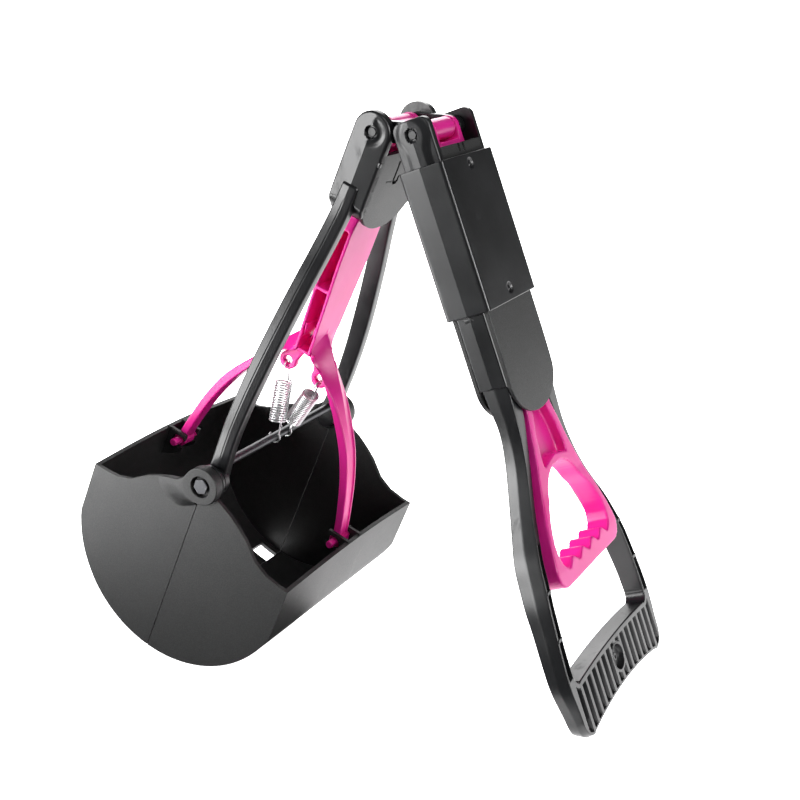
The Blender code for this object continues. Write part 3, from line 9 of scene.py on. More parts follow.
import bmesh
import bpy
import numpy as np
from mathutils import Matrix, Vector


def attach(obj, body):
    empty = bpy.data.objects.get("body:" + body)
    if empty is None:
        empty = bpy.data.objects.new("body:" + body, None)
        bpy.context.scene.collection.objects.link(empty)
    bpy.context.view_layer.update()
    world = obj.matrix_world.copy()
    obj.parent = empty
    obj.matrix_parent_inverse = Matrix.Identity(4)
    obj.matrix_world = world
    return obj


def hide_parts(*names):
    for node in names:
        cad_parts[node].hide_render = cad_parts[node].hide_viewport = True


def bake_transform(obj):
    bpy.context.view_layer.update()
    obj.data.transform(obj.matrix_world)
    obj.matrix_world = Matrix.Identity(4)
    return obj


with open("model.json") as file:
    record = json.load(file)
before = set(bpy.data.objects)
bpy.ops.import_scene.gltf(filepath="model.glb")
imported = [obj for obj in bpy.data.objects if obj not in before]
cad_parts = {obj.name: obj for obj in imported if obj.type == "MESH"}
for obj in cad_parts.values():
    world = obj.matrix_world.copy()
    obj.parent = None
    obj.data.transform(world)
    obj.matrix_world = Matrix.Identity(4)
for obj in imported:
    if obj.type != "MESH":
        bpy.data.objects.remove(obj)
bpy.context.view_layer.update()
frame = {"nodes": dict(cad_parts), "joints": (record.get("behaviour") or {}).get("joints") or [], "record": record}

MM = 0.001
NODES = frame["nodes"]
JOINTS = {joint["name"]: joint for joint in frame["joints"]}
BODY_OF = {node: body for body, nodes in frame["record"]["behaviour"]["bodies"].items() for node in nodes}
# Signs and names of the sides along the pins, near being the camera's, and of a leg's two faces.
SIDES = ((1, "far"), (-1, "near"))
FACES = ((1, "front"), (-1, "rear"))


# Places -----------------------------------------------------------------------------------------

class Leg:
    """Directions of one leg: down it, across its depth, and the middle of its fold pin."""

    def __init__(self, pin_joint, slide_joint, sign):
        self.pin = np.array(JOINTS[pin_joint]["pos_m"], float)
        self.down = sign * np.array(JOINTS[slide_joint]["axis"], float)
        self.down /= np.linalg.norm(self.down)
        self.out = np.array((-self.down[2], 0.0, self.down[0]))
        self.pin[1] = 0.0

    def at(self, s, y, t):
        """World places of leg places, as one array."""
        s, y, t = np.broadcast_arrays(np.asarray(s, float), y, t)
        across = np.stack((np.zeros_like(s), y, np.zeros_like(s)), -1)
        return self.pin + s[..., None] * self.down + t[..., None] * self.out + across


FORK = Leg("fold_lower", "yoke_slide", -1)
HANDLE = Leg("fold_upper", "trigger_slide", 1)


# Shader maths -----------------------------------------------------------------------------------

class Value:
    """One socket of a material. Arithmetic on it adds Math nodes."""

    def __init__(self, paint, socket):
        self.paint = paint
        self.socket = socket

    def _math(self, operation, other):
        return self.paint.node("ShaderNodeMath", {"operation": operation}, self, other)

    def __add__(self, other):
        return self._math("ADD", other)

    __radd__ = __add__

    def __mul__(self, other):
        return self._math("MULTIPLY", other)

    def __sub__(self, other):
        return self._math("SUBTRACT", other)

    def band(self, low, high):
        """0 below low, 1 above high, smooth between."""
        return self.paint.node("ShaderNodeMapRange", {"interpolation_type": "SMOOTHSTEP", "clamp": True},
                               self, low, high, 0.0, 1.0)


class Paint:
    """One material with a Principled shader, built from expressions."""

    def __init__(self, name, **fixed):
        self.material = bpy.data.materials.new(name)
        self.material.use_nodes = True
        self.tree = self.material.node_tree
        self.shader = self.tree.nodes["Principled BSDF"]
        self.place = Value(self, self.tree.nodes.new("ShaderNodeTexCoord").outputs["Object"])
        for socket, value in fixed.items():
            self.shader.inputs[socket].default_value = value

    def join(self, pairs):
        """Link each socket to its value, or set it where the value is a plain one."""
        for socket, value in pairs:
            if isinstance(value, Value):
                self.tree.links.new(value.socket, socket)
            else:
                socket.default_value = value

    def node(self, kind, settings, *values, **named):
        """Output of a new node: settings first, then the values or links of its sockets."""
        made = self.tree.nodes.new(kind)
        for key, value in settings.items():
            setattr(made, key, value)
        self.join(zip(made.inputs, values))
        self.join((made.inputs[key], value) for key, value in named.items())
        return Value(self, made.outputs[0])

    def noise(self, size, detail, rough, stretch=(1.0, 1.0, 1.0)):
        """Soft random field, from 0 to 1, whose spots are about size metres wide."""
        scaled = self.node("ShaderNodeMapping", {}, self.place, Scale=tuple(f / size for f in stretch))
        return self.node("ShaderNodeTexNoise", {"normalize": True}, Vector=scaled, Scale=1.0, Detail=detail,
                         Roughness=rough)

    def mix(self, share, low, high):
        """Colour between two colours."""
        made = self.tree.nodes.new("ShaderNodeMix")
        made.data_type = "RGBA"
        self.join(zip([s for s in made.inputs if s.enabled], (share, low, high)))
        return Value(self, [s for s in made.outputs if s.enabled][0])

    def feed(self, socket, value):
        self.tree.links.new(value.socket, self.shader.inputs[socket])

    def finished(self, share, low, high, roughness, height=None, depth=0.0, strength=0.0):
        """The material: a colour between two, a roughness, and a bump of so many metres if any."""
        self.feed("Base Color", self.mix(share, low, high))
        self.feed("Roughness", roughness)
        if height:
            made = self.node("ShaderNodeBump", {}, Strength=strength, Distance=depth, Height=height)
            self.feed("Normal", made)
        return self.material


def rgb(red, green, blue):
    return (red, green, blue, 1.0)


def satin_black():
    """Smooth black moulding: faint orange peel, cloudy gloss and a few dull handling patches."""
    paint = Paint("satin_black", IOR=1.5)
    cloud = paint.noise(28 * MM, 3.0, 0.55)
    peel = paint.noise(1.6 * MM, 2.0, 0.6)
    scuff = paint.noise(7 * MM, 4.0, 0.7, (1.0, 1.0, 0.25)).band(0.56, 0.72)
    return paint.finished(cloud.band(0.3, 0.7), rgb(0.006, 0.0063, 0.0072), rgb(0.011, 0.0115, 0.013),
                          0.24 + cloud * 0.14 + scuff * 0.12, peel + cloud * 1.5, 0.05 * MM, 0.35)


def grained_black():
    """Black moulding with a spark-eroded grain, matte and a little greyer on the grain's tops."""
    paint = Paint("grained_black", IOR=1.5)
    grain = paint.noise(0.55 * MM, 3.0, 0.65)
    cloud = paint.noise(35 * MM, 3.0, 0.5)
    rub = paint.noise(9 * MM, 4.0, 0.65).band(0.58, 0.75)
    return paint.finished(grain.band(0.35, 0.75), rgb(0.007, 0.0072, 0.0075), rgb(0.022, 0.0225, 0.023),
                          0.46 + cloud * 0.1 - rub * 0.06, grain, 0.12 * MM, 0.55)


def hot_pink():
    """Glossy hot pink moulding, its colour a little deeper in patches, with faint flow lines."""
    paint = Paint("hot_pink", IOR=1.4)
    cloud = paint.noise(22 * MM, 2.0, 0.5)
    flow = paint.noise(3.5 * MM, 3.0, 0.6, (1.0, 1.0, 0.12))
    peel = paint.noise(1.4 * MM, 2.0, 0.6)
    return paint.finished(cloud.band(0.3, 0.7), rgb(0.81, 0.014, 0.285), rgb(0.86, 0.022, 0.34),
                          0.26 + flow * 0.12, peel + flow * 0.6, 0.04 * MM, 0.35)


def bright_wire():
    """Drawn spring steel: bright, with fine dull streaks."""
    paint = Paint("bright_wire", Metallic=1.0)
    streak = paint.noise(0.35 * MM, 3.0, 0.6, (1.0, 1.0, 0.3))
    return paint.finished(streak, rgb(0.5, 0.5, 0.51), rgb(0.82, 0.82, 0.83), 0.30 + streak * 0.18)


def dark_metal():
    """Blackened steel of rod, pins and bolts, worn brighter in spots."""
    paint = Paint("dark_metal", Metallic=0.85)
    spot = paint.noise(2.2 * MM, 4.0, 0.65)
    return paint.finished(spot.band(0.55, 0.8), rgb(0.055, 0.056, 0.060), rgb(0.22, 0.22, 0.23),
                          0.28 + spot * 0.18, spot, 0.03 * MM, 0.3)


FINISHES = {
    "black_plastic": satin_black(),
    "grained_plastic": grained_black(),
    "pink_plastic": hot_pink(),
    "bright_steel": bright_wire(),
    "dark_steel": dark_metal(),
}


# Pieces -----------------------------------------------------------------------------------------

SOFT_RADIUS = 0.35 * MM
SHARP_TURN = math.radians(32)
CREASE_TURN = math.radians(1.5)
CREASE_AREA = 250 * MM ** 2


def placed(name, mesh):
    """New object in the scene."""
    made = bpy.data.objects.new(name, mesh)
    bpy.context.scene.collection.objects.link(made)
    return made


def bare_copy(node):
    """Mesh of a CAD node, without its materials."""
    mesh = NODES[node].data.copy()
    mesh.materials.clear()
    return mesh


def settled(piece, node, finish):
    """A moulding takes its node's place on the node's body."""
    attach(piece, BODY_OF[node])
    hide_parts(node)


def softened(node, finish):
    """A moulding whose corners are rounded: the solid's own faces, merged, with a small radius.
    The line between two broad faces stays crisp, except on the jaws. The rear jaw's hubs are left
    out: jaw_hubs() makes them."""
    jaw = node.startswith("jaw")
    mesh = bare_copy(node)
    work = bmesh.new()
    work.from_mesh(mesh)
    if node == "jaw_rear":
        hub = [f for f in work.faces if max(abs(v.co.y) for v in f.verts) > JAW_HALF_WIDTH + 0.05 * MM]
        bmesh.ops.delete(work, geom=hub, context="FACES")
    bmesh.ops.remove_doubles(work, verts=work.verts, dist=0.002 * MM)
    bmesh.ops.dissolve_limit(work, angle_limit=math.radians(0.5), verts=work.verts, edges=work.edges)
    for face in work.faces:
        face.smooth = True
    for edge in work.edges:
        if len(edge.link_faces) == 2:
            turn = edge.calc_face_angle(0.0)
            broad = not jaw and min(f.calc_area() for f in edge.link_faces) > CREASE_AREA
            edge.smooth = not (turn > SHARP_TURN or (broad and turn > CREASE_TURN))
    work.to_mesh(mesh)
    work.free()
    mesh.materials.append(FINISHES[finish])
    piece = placed(node + "_moulding", mesh)
    bevel = piece.modifiers.new("corner_radius", "BEVEL")
    bevel.width = SOFT_RADIUS
    bevel.segments = 2
    bevel.limit_method = "ANGLE"
    bevel.angle_limit = SHARP_TURN
    bevel.harden_normals = True
    bevel.use_clamp_overlap = True
    settled(piece, node, finish)


SLOT_OF = {node: finish for finish, nodes in {
    "grained_plastic": ("jaw_front", "jaw_rear", "fork_front_cover", "fork_rear_cover",
                        "handle_front_cover", "handle_rear_cover"),
    "pink_plastic": ("trigger", "yoke", "inner_link", "yoke_arm_front", "yoke_arm_rear"),
    "bright_steel": ("spring_front", "spring_rear", "yoke_link_pin"),
    "dark_steel": ("spring_rod", "pivot_bolt_near", "pivot_bolt_far"),
}.items() for node in nodes}


def rounded(node, finish, grain_size, passes):
    """A moulding with generous radii inside and out: the solid rebuilt in small cells and eased."""
    piece = placed(node + "_moulding", bare_copy(node))
    cells = piece.modifiers.new("cells", "REMESH")
    cells.mode = "VOXEL"
    cells.voxel_size = grain_size
    easing = piece.modifiers.new("easing", "SMOOTH")
    easing.iterations = passes
    easing.factor = 0.5
    bpy.context.view_layer.update()
    graph = bpy.context.evaluated_depsgraph_get()
    shaped = bpy.data.meshes.new_from_object(piece.evaluated_get(graph))
    if node == "trigger":
        fair_trigger(shaped)
    piece.modifiers.clear()
    piece.data = shaped
    shaped.shade_smooth()
    shaped.materials.clear()
    shaped.materials.append(FINISHES[finish])
    settled(piece, node, finish)


def points_of(mesh):
    """Places of a mesh's vertices, one row each."""
    points = np.empty(len(mesh.vertices) * 3, np.float32)
    mesh.vertices.foreach_get("co", points)
    return points.reshape(-1, 3).astype(float)


ROD_HALF_WIDTH = 13.0 * MM
TRIGGER_HALF_WIDTH = 38.8 * MM
TRIGGER_FLARE_TOP = 131.0 * MM
TRIGGER_FLARE_LENGTH = 75.0 * MM
TRIGGER_FLARE_SHARES = ((0, 0), (0.08, 0.03), (0.187, 0.135), (0.32, 0.245), (0.453, 0.4),
                        (0.587, 0.562), (0.72, 0.748), (0.853, 0.9), (0.947, 0.98), (1, 1))
FINGER_TOP = 163.0 * MM
FINGER_HALF_WIDTH = 31.4 * MM
FINGER_LENGTH = 42.0 * MM
FINGER_SHARES = ((0, 0.13), (0.03, 0.26), (0.075, 0.38), (0.17, 0.52), (0.3, 0.64), (0.46, 0.82),
                 (0.68, 0.97), (0.83, 1.0), (0.95, 0.965))


def fair_trigger(mesh):
    """Move the trigger's flanks and the walls of its finger opening from the straight runs between
    the points of their outlines to smooth curves through the same points."""
    points = points_of(mesh)
    s = (points - HANDLE.pin) @ HANDLE.down
    y = points[:, 1]
    inner, inner_shift = faired(FINGER_SHARES, (s - FINGER_TOP) / FINGER_LENGTH, FINGER_HALF_WIDTH)
    outer, outer_shift = faired(TRIGGER_FLARE_SHARES, (s - TRIGGER_FLARE_TOP) / TRIGGER_FLARE_LENGTH,
                                TRIGGER_HALF_WIDTH - ROD_HALF_WIDTH)
    outer = outer + ROD_HALF_WIDTH
    inner = np.where(s < FINGER_TOP, 0.0, inner)
    share = np.clip((np.abs(y) - inner) / (outer - inner), 0, 1)
    points[:, 1] += np.sign(y) * ((1 - share) * inner_shift + share * outer_shift)
    mesh.vertices.foreach_set("co", points.astype(np.float32).reshape(-1))
    mesh.update()


def faired(table, share, size):
    """Straight runs between a table's points, and how far the smooth curve lies from them."""
    xs, ys = np.array(table, float).T
    straight = np.interp(share, xs, ys)
    return size * straight, size * (through(table, share) - straight)


def through(table, at):
    """Smooth curve through the points of a table: cubic between each two, its slope at a point that
    of the line between its neighbours, level outside the table."""
    xs, ys = np.array(table, float).T
    at = np.clip(np.asarray(at, float), xs[0], xs[-1])
    before = np.maximum(np.arange(len(xs)) - 1, 0)
    after = np.minimum(np.arange(len(xs)) + 1, len(xs) - 1)
    slope = (ys[after] - ys[before]) / (xs[after] - xs[before])
    k = np.clip(np.searchsorted(xs, at, "right") - 1, 0, len(xs) - 2)
    width = xs[k + 1] - xs[k]
    u = (at - xs[k]) / width
    return ((2 * u ** 3 - 3 * u ** 2 + 1) * ys[k] + (u ** 3 - 2 * u ** 2 + u) * width * slope[k]
            + (3 * u ** 2 - 2 * u ** 3) * ys[k + 1] + (u ** 3 - u ** 2) * width * slope[k + 1])


def ease(value, low, high):
    """0 below low, 1 above high, an S curve between: 3x^2 - 2x^3."""
    x = np.clip((value - low) / (high - low), 0, 1)
    return x * x * (3 - 2 * x)


def fade(value, low, high):
    """1 below low, 0 above high."""
    return 1 - ease(value, low, high)


def skin(name, rings, finish, body, closed=False, sharp=35, open_ends=False):
    """Surface through rings of points (stations, points round, 3). Each ring is closed; the stations
    close on themselves too if closed, and else a fan shuts each end. With open_ends the stations
    close and the rings don't: their ends meet other rings' ends."""
    around = rings.shape[1]
    index = np.arange(rings.shape[0] * around).reshape(-1, around)
    closed = closed or open_ends
    low = index if closed else index[:-1]
    high = np.roll(index, -1, axis=0) if closed else index[1:]
    quads = np.stack((low, np.roll(low, -1, axis=1), np.roll(high, -1, axis=1), high), -1)
    if open_ends:
        quads = quads[:, :-1]
    quads = quads.reshape(-1, 4)
    points = rings.reshape(-1, 3)
    faces = [quads]
    if not closed:
        first, last, count = index[0], index[-1], len(points)
        points = np.concatenate((points, rings[[0, -1]].mean(axis=1)))
        faces.append(np.stack((np.roll(first, -1), first, np.full(around, count)), -1))
        faces.append(np.stack((last, np.roll(last, -1), np.full(around, count + 1)), -1))
    corners = np.concatenate([part.reshape(-1) for part in faces])
    sizes = np.concatenate([np.full(len(part), part.shape[1]) for part in faces])
    mesh = bpy.data.meshes.new(name)
    mesh.vertices.add(len(points))
    mesh.vertices.foreach_set("co", points.astype(np.float32).reshape(-1))
    mesh.loops.add(len(corners))
    mesh.loops.foreach_set("vertex_index", corners.astype(np.int32))
    mesh.polygons.add(len(sizes))
    mesh.polygons.foreach_set("loop_start", (np.cumsum(sizes) - sizes).astype(np.int32))
    mesh.update(calc_edges=True)
    mesh.validate()
    a, b, c, d = (points[quads[:, k]] - points.mean(axis=0) for k in range(4))
    volume = np.einsum("ij,ij->i", a, np.cross(b, c) + np.cross(c, d)).sum()
    if volume < 0:
        mesh.flip_normals()
    mesh.shade_smooth()
    mesh.set_sharp_from_angle(angle=math.radians(sharp))
    mesh.materials.append(FINISHES[finish])
    piece = placed(name, mesh)
    if body:
        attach(piece, body)
    return piece


def corner_loop(width, depth, radius, steps, front, flank=0):
    """Closed section of a bar with rounded corners, as arrays (stations, points): distance across
    from its middle, and height from its middle. Width and depth are halves. The front face (height
    = depth) has more points, and both flanks as many as asked for."""
    sizes = (np.asarray(size, float)[..., None] for size in (width, depth, radius))
    width, depth, radius = np.broadcast_arrays(*sizes)
    turn = np.linspace(0, np.pi / 2, steps + 1)
    across, high = [], []
    for k, (sx, sy) in enumerate(((1, -1), (1, 1), (-1, 1), (-1, -1))):
        angle = turn - np.pi / 2 + k * np.pi / 2
        across.append(sx * (width - radius) + radius * np.cos(angle))
        high.append(sy * (depth - radius) + radius * np.sin(angle))
        if k == 1:
            flat = np.linspace(1, -1, front + 2)[1:-1]
            across.append((width - radius) * flat)
            high.append(depth + 0 * flat * width)
        if k in (0, 2) and flank:
            climb = np.linspace(-1, 1, flank + 2)[1:-1] * (1 - k)
            across.append(sx * width + 0 * climb)
            high.append((depth - radius) * climb)
    return np.concatenate(across, -1), np.concatenate(high, -1)


INNER_STEPS = 14
RIM_STEPS = 6
PLATE_TURN = math.radians(35)


def plate(name, outline, spine, front, back, leg, side, finish, body, radius=0.9 * MM, crease=None,
          flat=False, steps=46):
    """Flat piece seen face on, in the side view of a leg, or in its front view if flat. From each point
    of its outline, lines run over the inner and the outer face to the nearest point of its spine:
    q + (p - q)(1 - v). The outer face lies at front(s, t) and meets the rim in a quarter round, the
    inner one at back. An edge in the middle plane, below crease, stays crisp."""
    foot = pairs(np.clip(outline[:, 0], *spine), 0)
    away = outline - foot
    reach = np.linalg.norm(away, axis=1)[:, None]
    turn = np.linspace(0, np.pi / 2, RIM_STEPS)
    share = np.concatenate((np.repeat(np.linspace(0, 1, INNER_STEPS)[None], len(outline), 0),
                            1 - radius * (1 - np.cos(turn)) / reach,
                            (1 - radius / reach) * np.linspace(1, 0, steps)[None, 1:]), 1)
    s, t = np.moveaxis(foot[:, None] + away[:, None] * share[..., None], -1, 0)
    high = front(s, t)
    high[:, :INNER_STEPS] = back(s[:, :INNER_STEPS], t[:, :INNER_STEPS]) if callable(back) else back
    high[:, INNER_STEPS:INNER_STEPS + RIM_STEPS] -= radius * (1 - np.sin(turn))
    rings = leg.at(s, t, side * high) if flat else leg.at(s, side * high, t)
    piece = skin(name, rings, finish, body, sharp=180, open_ends=True)
    work = bmesh.new()
    work.from_mesh(piece.data)
    bmesh.ops.remove_doubles(work, verts=work.verts, dist=0.001 * MM)
    bmesh.ops.dissolve_degenerate(work, edges=work.edges, dist=0.001 * MM)
    bmesh.ops.recalc_face_normals(work, faces=work.faces)
    origin, out, down = Vector(leg.pin), Vector(leg.out), Vector(leg.down)
    for edge in work.edges:
        if len(edge.link_faces) == 2:
            ends = [v.co - origin for v in edge.verts]
            folded = edge.calc_face_angle(0.0) > PLATE_TURN
            on_crease = crease is not None and all(
                abs(p.dot(out)) < 1e-6 and p.dot(down) > crease and abs(p.y) > back + 2 * MM for p in ends)
            edge.smooth = not (folded or on_crease)
    work.to_mesh(piece.data)
    work.free()
    return piece


def turned(name, profile, centre, axis, finish, body, sides):
    """Solid of revolution: profile rows are (distance along the axis, radius), centre to centre."""
    profile = np.array(profile, float)
    axis = np.array(axis, float)
    side = np.cross(axis, (0.0, 0.0, 1.0) if abs(axis[2]) < 0.9 else (1.0, 0.0, 0.0))
    side /= np.linalg.norm(side)
    other = np.cross(axis, side)
    angle = np.linspace(0, 2 * np.pi, sides, endpoint=False)
    spoke = np.cos(angle)[:, None] * side + np.sin(angle)[:, None] * other
    rings = np.array(centre) + profile[:, 0, None, None] * axis + profile[:, 1, None, None] * spoke
    skin(name, rings, finish, body, sharp=30)


# Handle -----------------------------------------------------------------------------------------

HANDLE_LENGTH = 279.6 * MM
HAND_LENGTH = 143.6 * MM
FLARE_TOP = HANDLE_LENGTH - HAND_LENGTH
FLARE_LENGTH = 119.0 * MM
GRIP_DEPTH = 28.4 * MM
WINDOW_END = HANDLE_LENGTH - GRIP_DEPTH
WINDOW_BOW = 2.4 * MM
WINDOW_CORNER = 4.5 * MM
GRIP_HOLLOW = 4.4 * MM
GRIP_HALF_WIDTH = 57.3 * MM
GRIP_END_INSET = 2.6 * MM
GRIP_CORNER = 9.0 * MM
SHAFT_HALF_WIDTH = 25.0 * MM
CAVITY_HALF_WIDTH = 15.8 * MM
RAIL_WIDTH = 5.4 * MM
BLOCK_TOP = 8.4 * MM
SIDE_DEPTH = 7.2 * MM
SIDE_LEAD = 28.0 * MM
SECTION_HALF = 10.0 * MM  # of the rails' section, before it is fitted between back and front
HEEL_RADIUS = 4.2 * MM
HEEL_START = 42.0 * MM
HEEL_FULL = 6.0 * MM
GROOVE_LENGTH = 62.7 * MM
GROOVE_LIP = 1.2 * MM
GROOVE_LIP_EXTRA = 0.3 * MM
CHANNEL_DEPTH = 2.6 * MM
RUNG_PITCH = 21.0 * MM
RUNG_HALF = 0.6 * MM
RUNG_RISE = 0.3 * MM
RUNG_STEPS = (-1.05, -0.9, -0.75, -0.6, -0.3, 0.3, 0.6, 0.75, 0.9, 1.05)
GRIP_RIBS = 16
GRIP_BORDER = 3.0 * MM
GRIP_PLAIN_END = 2.4 * MM
RIB_DEPTH = 2.9 * MM
RIB_WALL = (1.1 * MM, 2.4 * MM)
BOSS_GAP = (7.4 * MM, 8.2 * MM)
BORE_WALL = (6.3 * MM, 6.9 * MM)
BORE_DEPTH = 3.4 * MM
RAIL_CROWN = 0.9 * MM
RAIL_CORNER = 0.6 * MM
BOSS_INSET = 17.6 * MM
FLARE_SHARES = ((0, 0), (0.08, 0.012), (0.16, 0.068), (0.244, 0.175), (0.328, 0.314), (0.412, 0.474),
                (0.496, 0.637), (0.58, 0.745), (0.664, 0.843), (0.748, 0.9), (0.832, 0.95),
                (0.916, 0.985), (1, 1))
RAIL_WIDTH_SHARES = ((0, 1.7), (0.08, 1.28), (0.16, 1.04), (0.244, 0.95), (0.328, 0.93), (0.5, 0.97),
                     (0.664, 1.05), (0.832, 1.15), (0.916, 1.25), (1, 1.28))
SIDE_FRONT_SHARES = ((0.006, 1.0), (0.11, 0.92), (0.176, 0.83), (0.273, 0.69), (0.391, 0.62),
                     (0.506, 0.82), (0.624, 1.0), (1.0, 1.0))
SIDE_BACK_SHARES = ((0, 1.0), (0.11, 0.78), (0.176, 0.64), (0.257, 0.78), (0.332, 0.92), (0.42, 0.99),
                    (0.524, 0.99), (0.612, 0.8), (0.694, 0.61), (0.805, 0.49), (0.974, 0.46))


def rail_outer(s):
    flare = through(FLARE_SHARES, (s - FLARE_TOP) / FLARE_LENGTH)
    return SHAFT_HALF_WIDTH + (GRIP_HALF_WIDTH - SHAFT_HALF_WIDTH) * flare


def rail_inner(s):
    width = RAIL_WIDTH * through(RAIL_WIDTH_SHARES, (s - FLARE_TOP) / FLARE_LENGTH)
    return np.where(s < FLARE_TOP, CAVITY_HALF_WIDTH, rail_outer(s) - width)


def grip_end(y):
    share = np.abs(y) / (GRIP_HALF_WIDTH - GRIP_CORNER)
    return HANDLE_LENGTH - GRIP_HOLLOW * (1 - np.minimum(share, 1) ** 2)


def window_end(y):
    return WINDOW_END + WINDOW_BOW * (np.abs(y) / (GRIP_HALF_WIDTH - RAIL_WIDTH)) ** 2


def pairs(first, second):
    """Rows of two numbers each. A single number stands for a whole column."""
    return np.stack(np.broadcast_arrays(first, second), -1)


def mirrored(half):
    """Half an outline, and its mirror image on the way back."""
    return np.concatenate((half, (half * (1, -1))[::-1]))


def along(line, count):
    """So many points evenly spaced along a line of points."""
    steps = np.linalg.norm(np.diff(line, axis=0), axis=1)
    run = np.concatenate(([0.0], np.cumsum(steps)))
    at = np.linspace(0, run[-1], count)
    return np.stack([np.interp(at, run, line[:, k]) for k in range(line.shape[1])], -1)


def quarter(centre, radius, start, end, count):
    """Points on a circle from one angle to another, in degrees."""
    angle = np.radians(np.linspace(start, end, count))
    return pairs(centre[0] + radius * np.cos(angle), centre[1] + radius * np.sin(angle))


def grip_relief(s, y, inner_gap, outer_gap):
    """Depth of the grip's front face: a row of grooves with S-shaped walls inside a plain border,
    level ground about the boss, and a bore in the boss's middle."""
    end_half = GRIP_HALF_WIDTH - GRIP_END_INSET
    on_grip = ease(s, WINDOW_END - 2 * MM, WINDOW_END)
    on_grip = on_grip * fade(np.abs(y), end_half - 2.6 * MM, end_half - 2.0 * MM)
    pitch = 2 * (end_half - GRIP_PLAIN_END) / GRIP_RIBS
    from_rib = np.abs(y - pitch * np.round(y / pitch))
    from_boss = np.hypot(s - (HANDLE_LENGTH - BOSS_INSET), y)
    boss_gap = ease(from_boss, *BOSS_GAP)
    bore = BORE_DEPTH * fade(from_boss, *BORE_WALL)
    border = ease(inner_gap, GRIP_BORDER - 0.5 * MM, GRIP_BORDER) * ease(outer_gap, 1.7 * MM, 2.2 * MM)
    return RIB_DEPTH * ease(from_rib, *RIB_WALL) * border * on_grip * boss_gap + bore


def rail_relief(s, inner_gap, outer_gap):
    """Depth of the long channel down each rail, with low rungs across it."""
    edge = np.minimum(inner_gap + GROOVE_LIP_EXTRA, outer_gap)
    top = WINDOW_END - GROOVE_LENGTH
    rung = np.abs((s - top) % RUNG_PITCH - RUNG_PITCH / 2)
    on_rung = ease(rung, RUNG_PITCH / 2 - RUNG_HALF - 0.4 * MM, RUNG_PITCH / 2 - RUNG_HALF)
    on_rail = ease(s, top, top + 1 * MM) * fade(s, WINDOW_END - 3 * MM, WINDOW_END - 2 * MM)
    channel = CHANNEL_DEPTH * ease(edge, GROOVE_LIP, GROOVE_LIP + 0.4 * MM)
    return (channel * (1 - on_rung) - RUNG_RISE * on_rung) * on_rail


def handle_rails():
    """Both rails and the ribbed grip as one bar carried round the hand opening.

    A station joins a point of the opening's edge to one of the outer edge. Across it runs a section
    with rounded corners, from the back line to the front line of the side view. The front face sinks
    by a long groove down each rail, left out at the rungs, and by a row of grooves on the grip.
    """
    end_half = GRIP_HALF_WIDTH - GRIP_END_INSET
    end_s = grip_end(end_half)
    inner_half = rail_inner(WINDOW_END - WINDOW_CORNER)
    grip_half = inner_half - WINDOW_CORNER
    corner_s = window_end(inner_half) - WINDOW_CORNER
    rung_s = WINDOW_END - GROOVE_LENGTH + RUNG_PITCH * np.arange(3)[:, None] + np.array(RUNG_STEPS) * MM
    rail_s = np.sort(np.append(np.linspace(BLOCK_TOP, corner_s, 120), rung_s))
    low = np.linspace(rail_s[-1], end_s - GRIP_CORNER, 20)
    below = np.linspace(end_half - GRIP_CORNER, grip_half, 12)
    sweep = np.concatenate((pairs(low, rail_outer(low) - GRIP_END_INSET * ease(low, rail_s[-1], low[-1])),
                            quarter((end_s - GRIP_CORNER, end_half - GRIP_CORNER), GRIP_CORNER, 90, 0, 24),
                            pairs(grip_end(below), below)))
    grip_y = np.linspace(grip_half, -grip_half, 260)[1:-1]

    def carried(rail, turn, grip):
        """One edge: down a rail, round the corner, along the grip and back up the other rail."""
        half = np.concatenate((pairs(rail_s, rail), turn[1:]))
        return np.concatenate((half, pairs(grip, grip_y), (half * (1, -1))[::-1]))

    bend = quarter((corner_s, grip_half), WINDOW_CORNER, 90, 0, 60)
    inner = carried(rail_inner(rail_s), bend, window_end(grip_y))
    outer = carried(rail_outer(rail_s), along(sweep, 60), grip_end(grip_y))
    width = np.linalg.norm(outer - inner, axis=1)[:, None]
    across, high = corner_loop(width[:, 0] / 2, SECTION_HALF, RAIL_CORNER, 4, 52, 13)
    over = across + width / 2
    across = across * (1 - np.where(across > 0, 2 * RAIL_CROWN / width * np.abs(high / SECTION_HALF), 0))
    s, y = np.moveaxis(inner[:, None] + (outer - inner)[:, None] * (across / width + 0.5)[..., None], -1, 0)
    place = (s - (FLARE_TOP - SIDE_LEAD)) / (HANDLE_LENGTH - FLARE_TOP + SIDE_LEAD)
    front = SIDE_DEPTH * through(SIDE_FRONT_SHARES, place)
    back = -SIDE_DEPTH * through(SIDE_BACK_SHARES, place)
    heel = np.clip(1 - (width - over) / HEEL_RADIUS, 0, 0.98) * ease(s, end_s - HEEL_START, end_s - HEEL_FULL)
    back = back + HEEL_RADIUS * (1 - np.sqrt(1 - heel ** 2))
    middle, half = (front + back) / 2, (front - back) / 2
    t = np.where(np.abs(high) >= SECTION_HALF - RAIL_CORNER,
                 middle + np.sign(high) * (half - SECTION_HALF + np.abs(high)),
                 middle + high / (SECTION_HALF - RAIL_CORNER) * (half - RAIL_CORNER))
    relief = grip_relief(s, y, over, width - over) + rail_relief(s, over, width - over)
    t = t - np.where(high >= SECTION_HALF - 0.001 * MM, relief, 0)
    piece = skin("handle_rails_and_grip", HANDLE.at(s, y, t), "black_plastic", "handle")
    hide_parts("handle_frame")


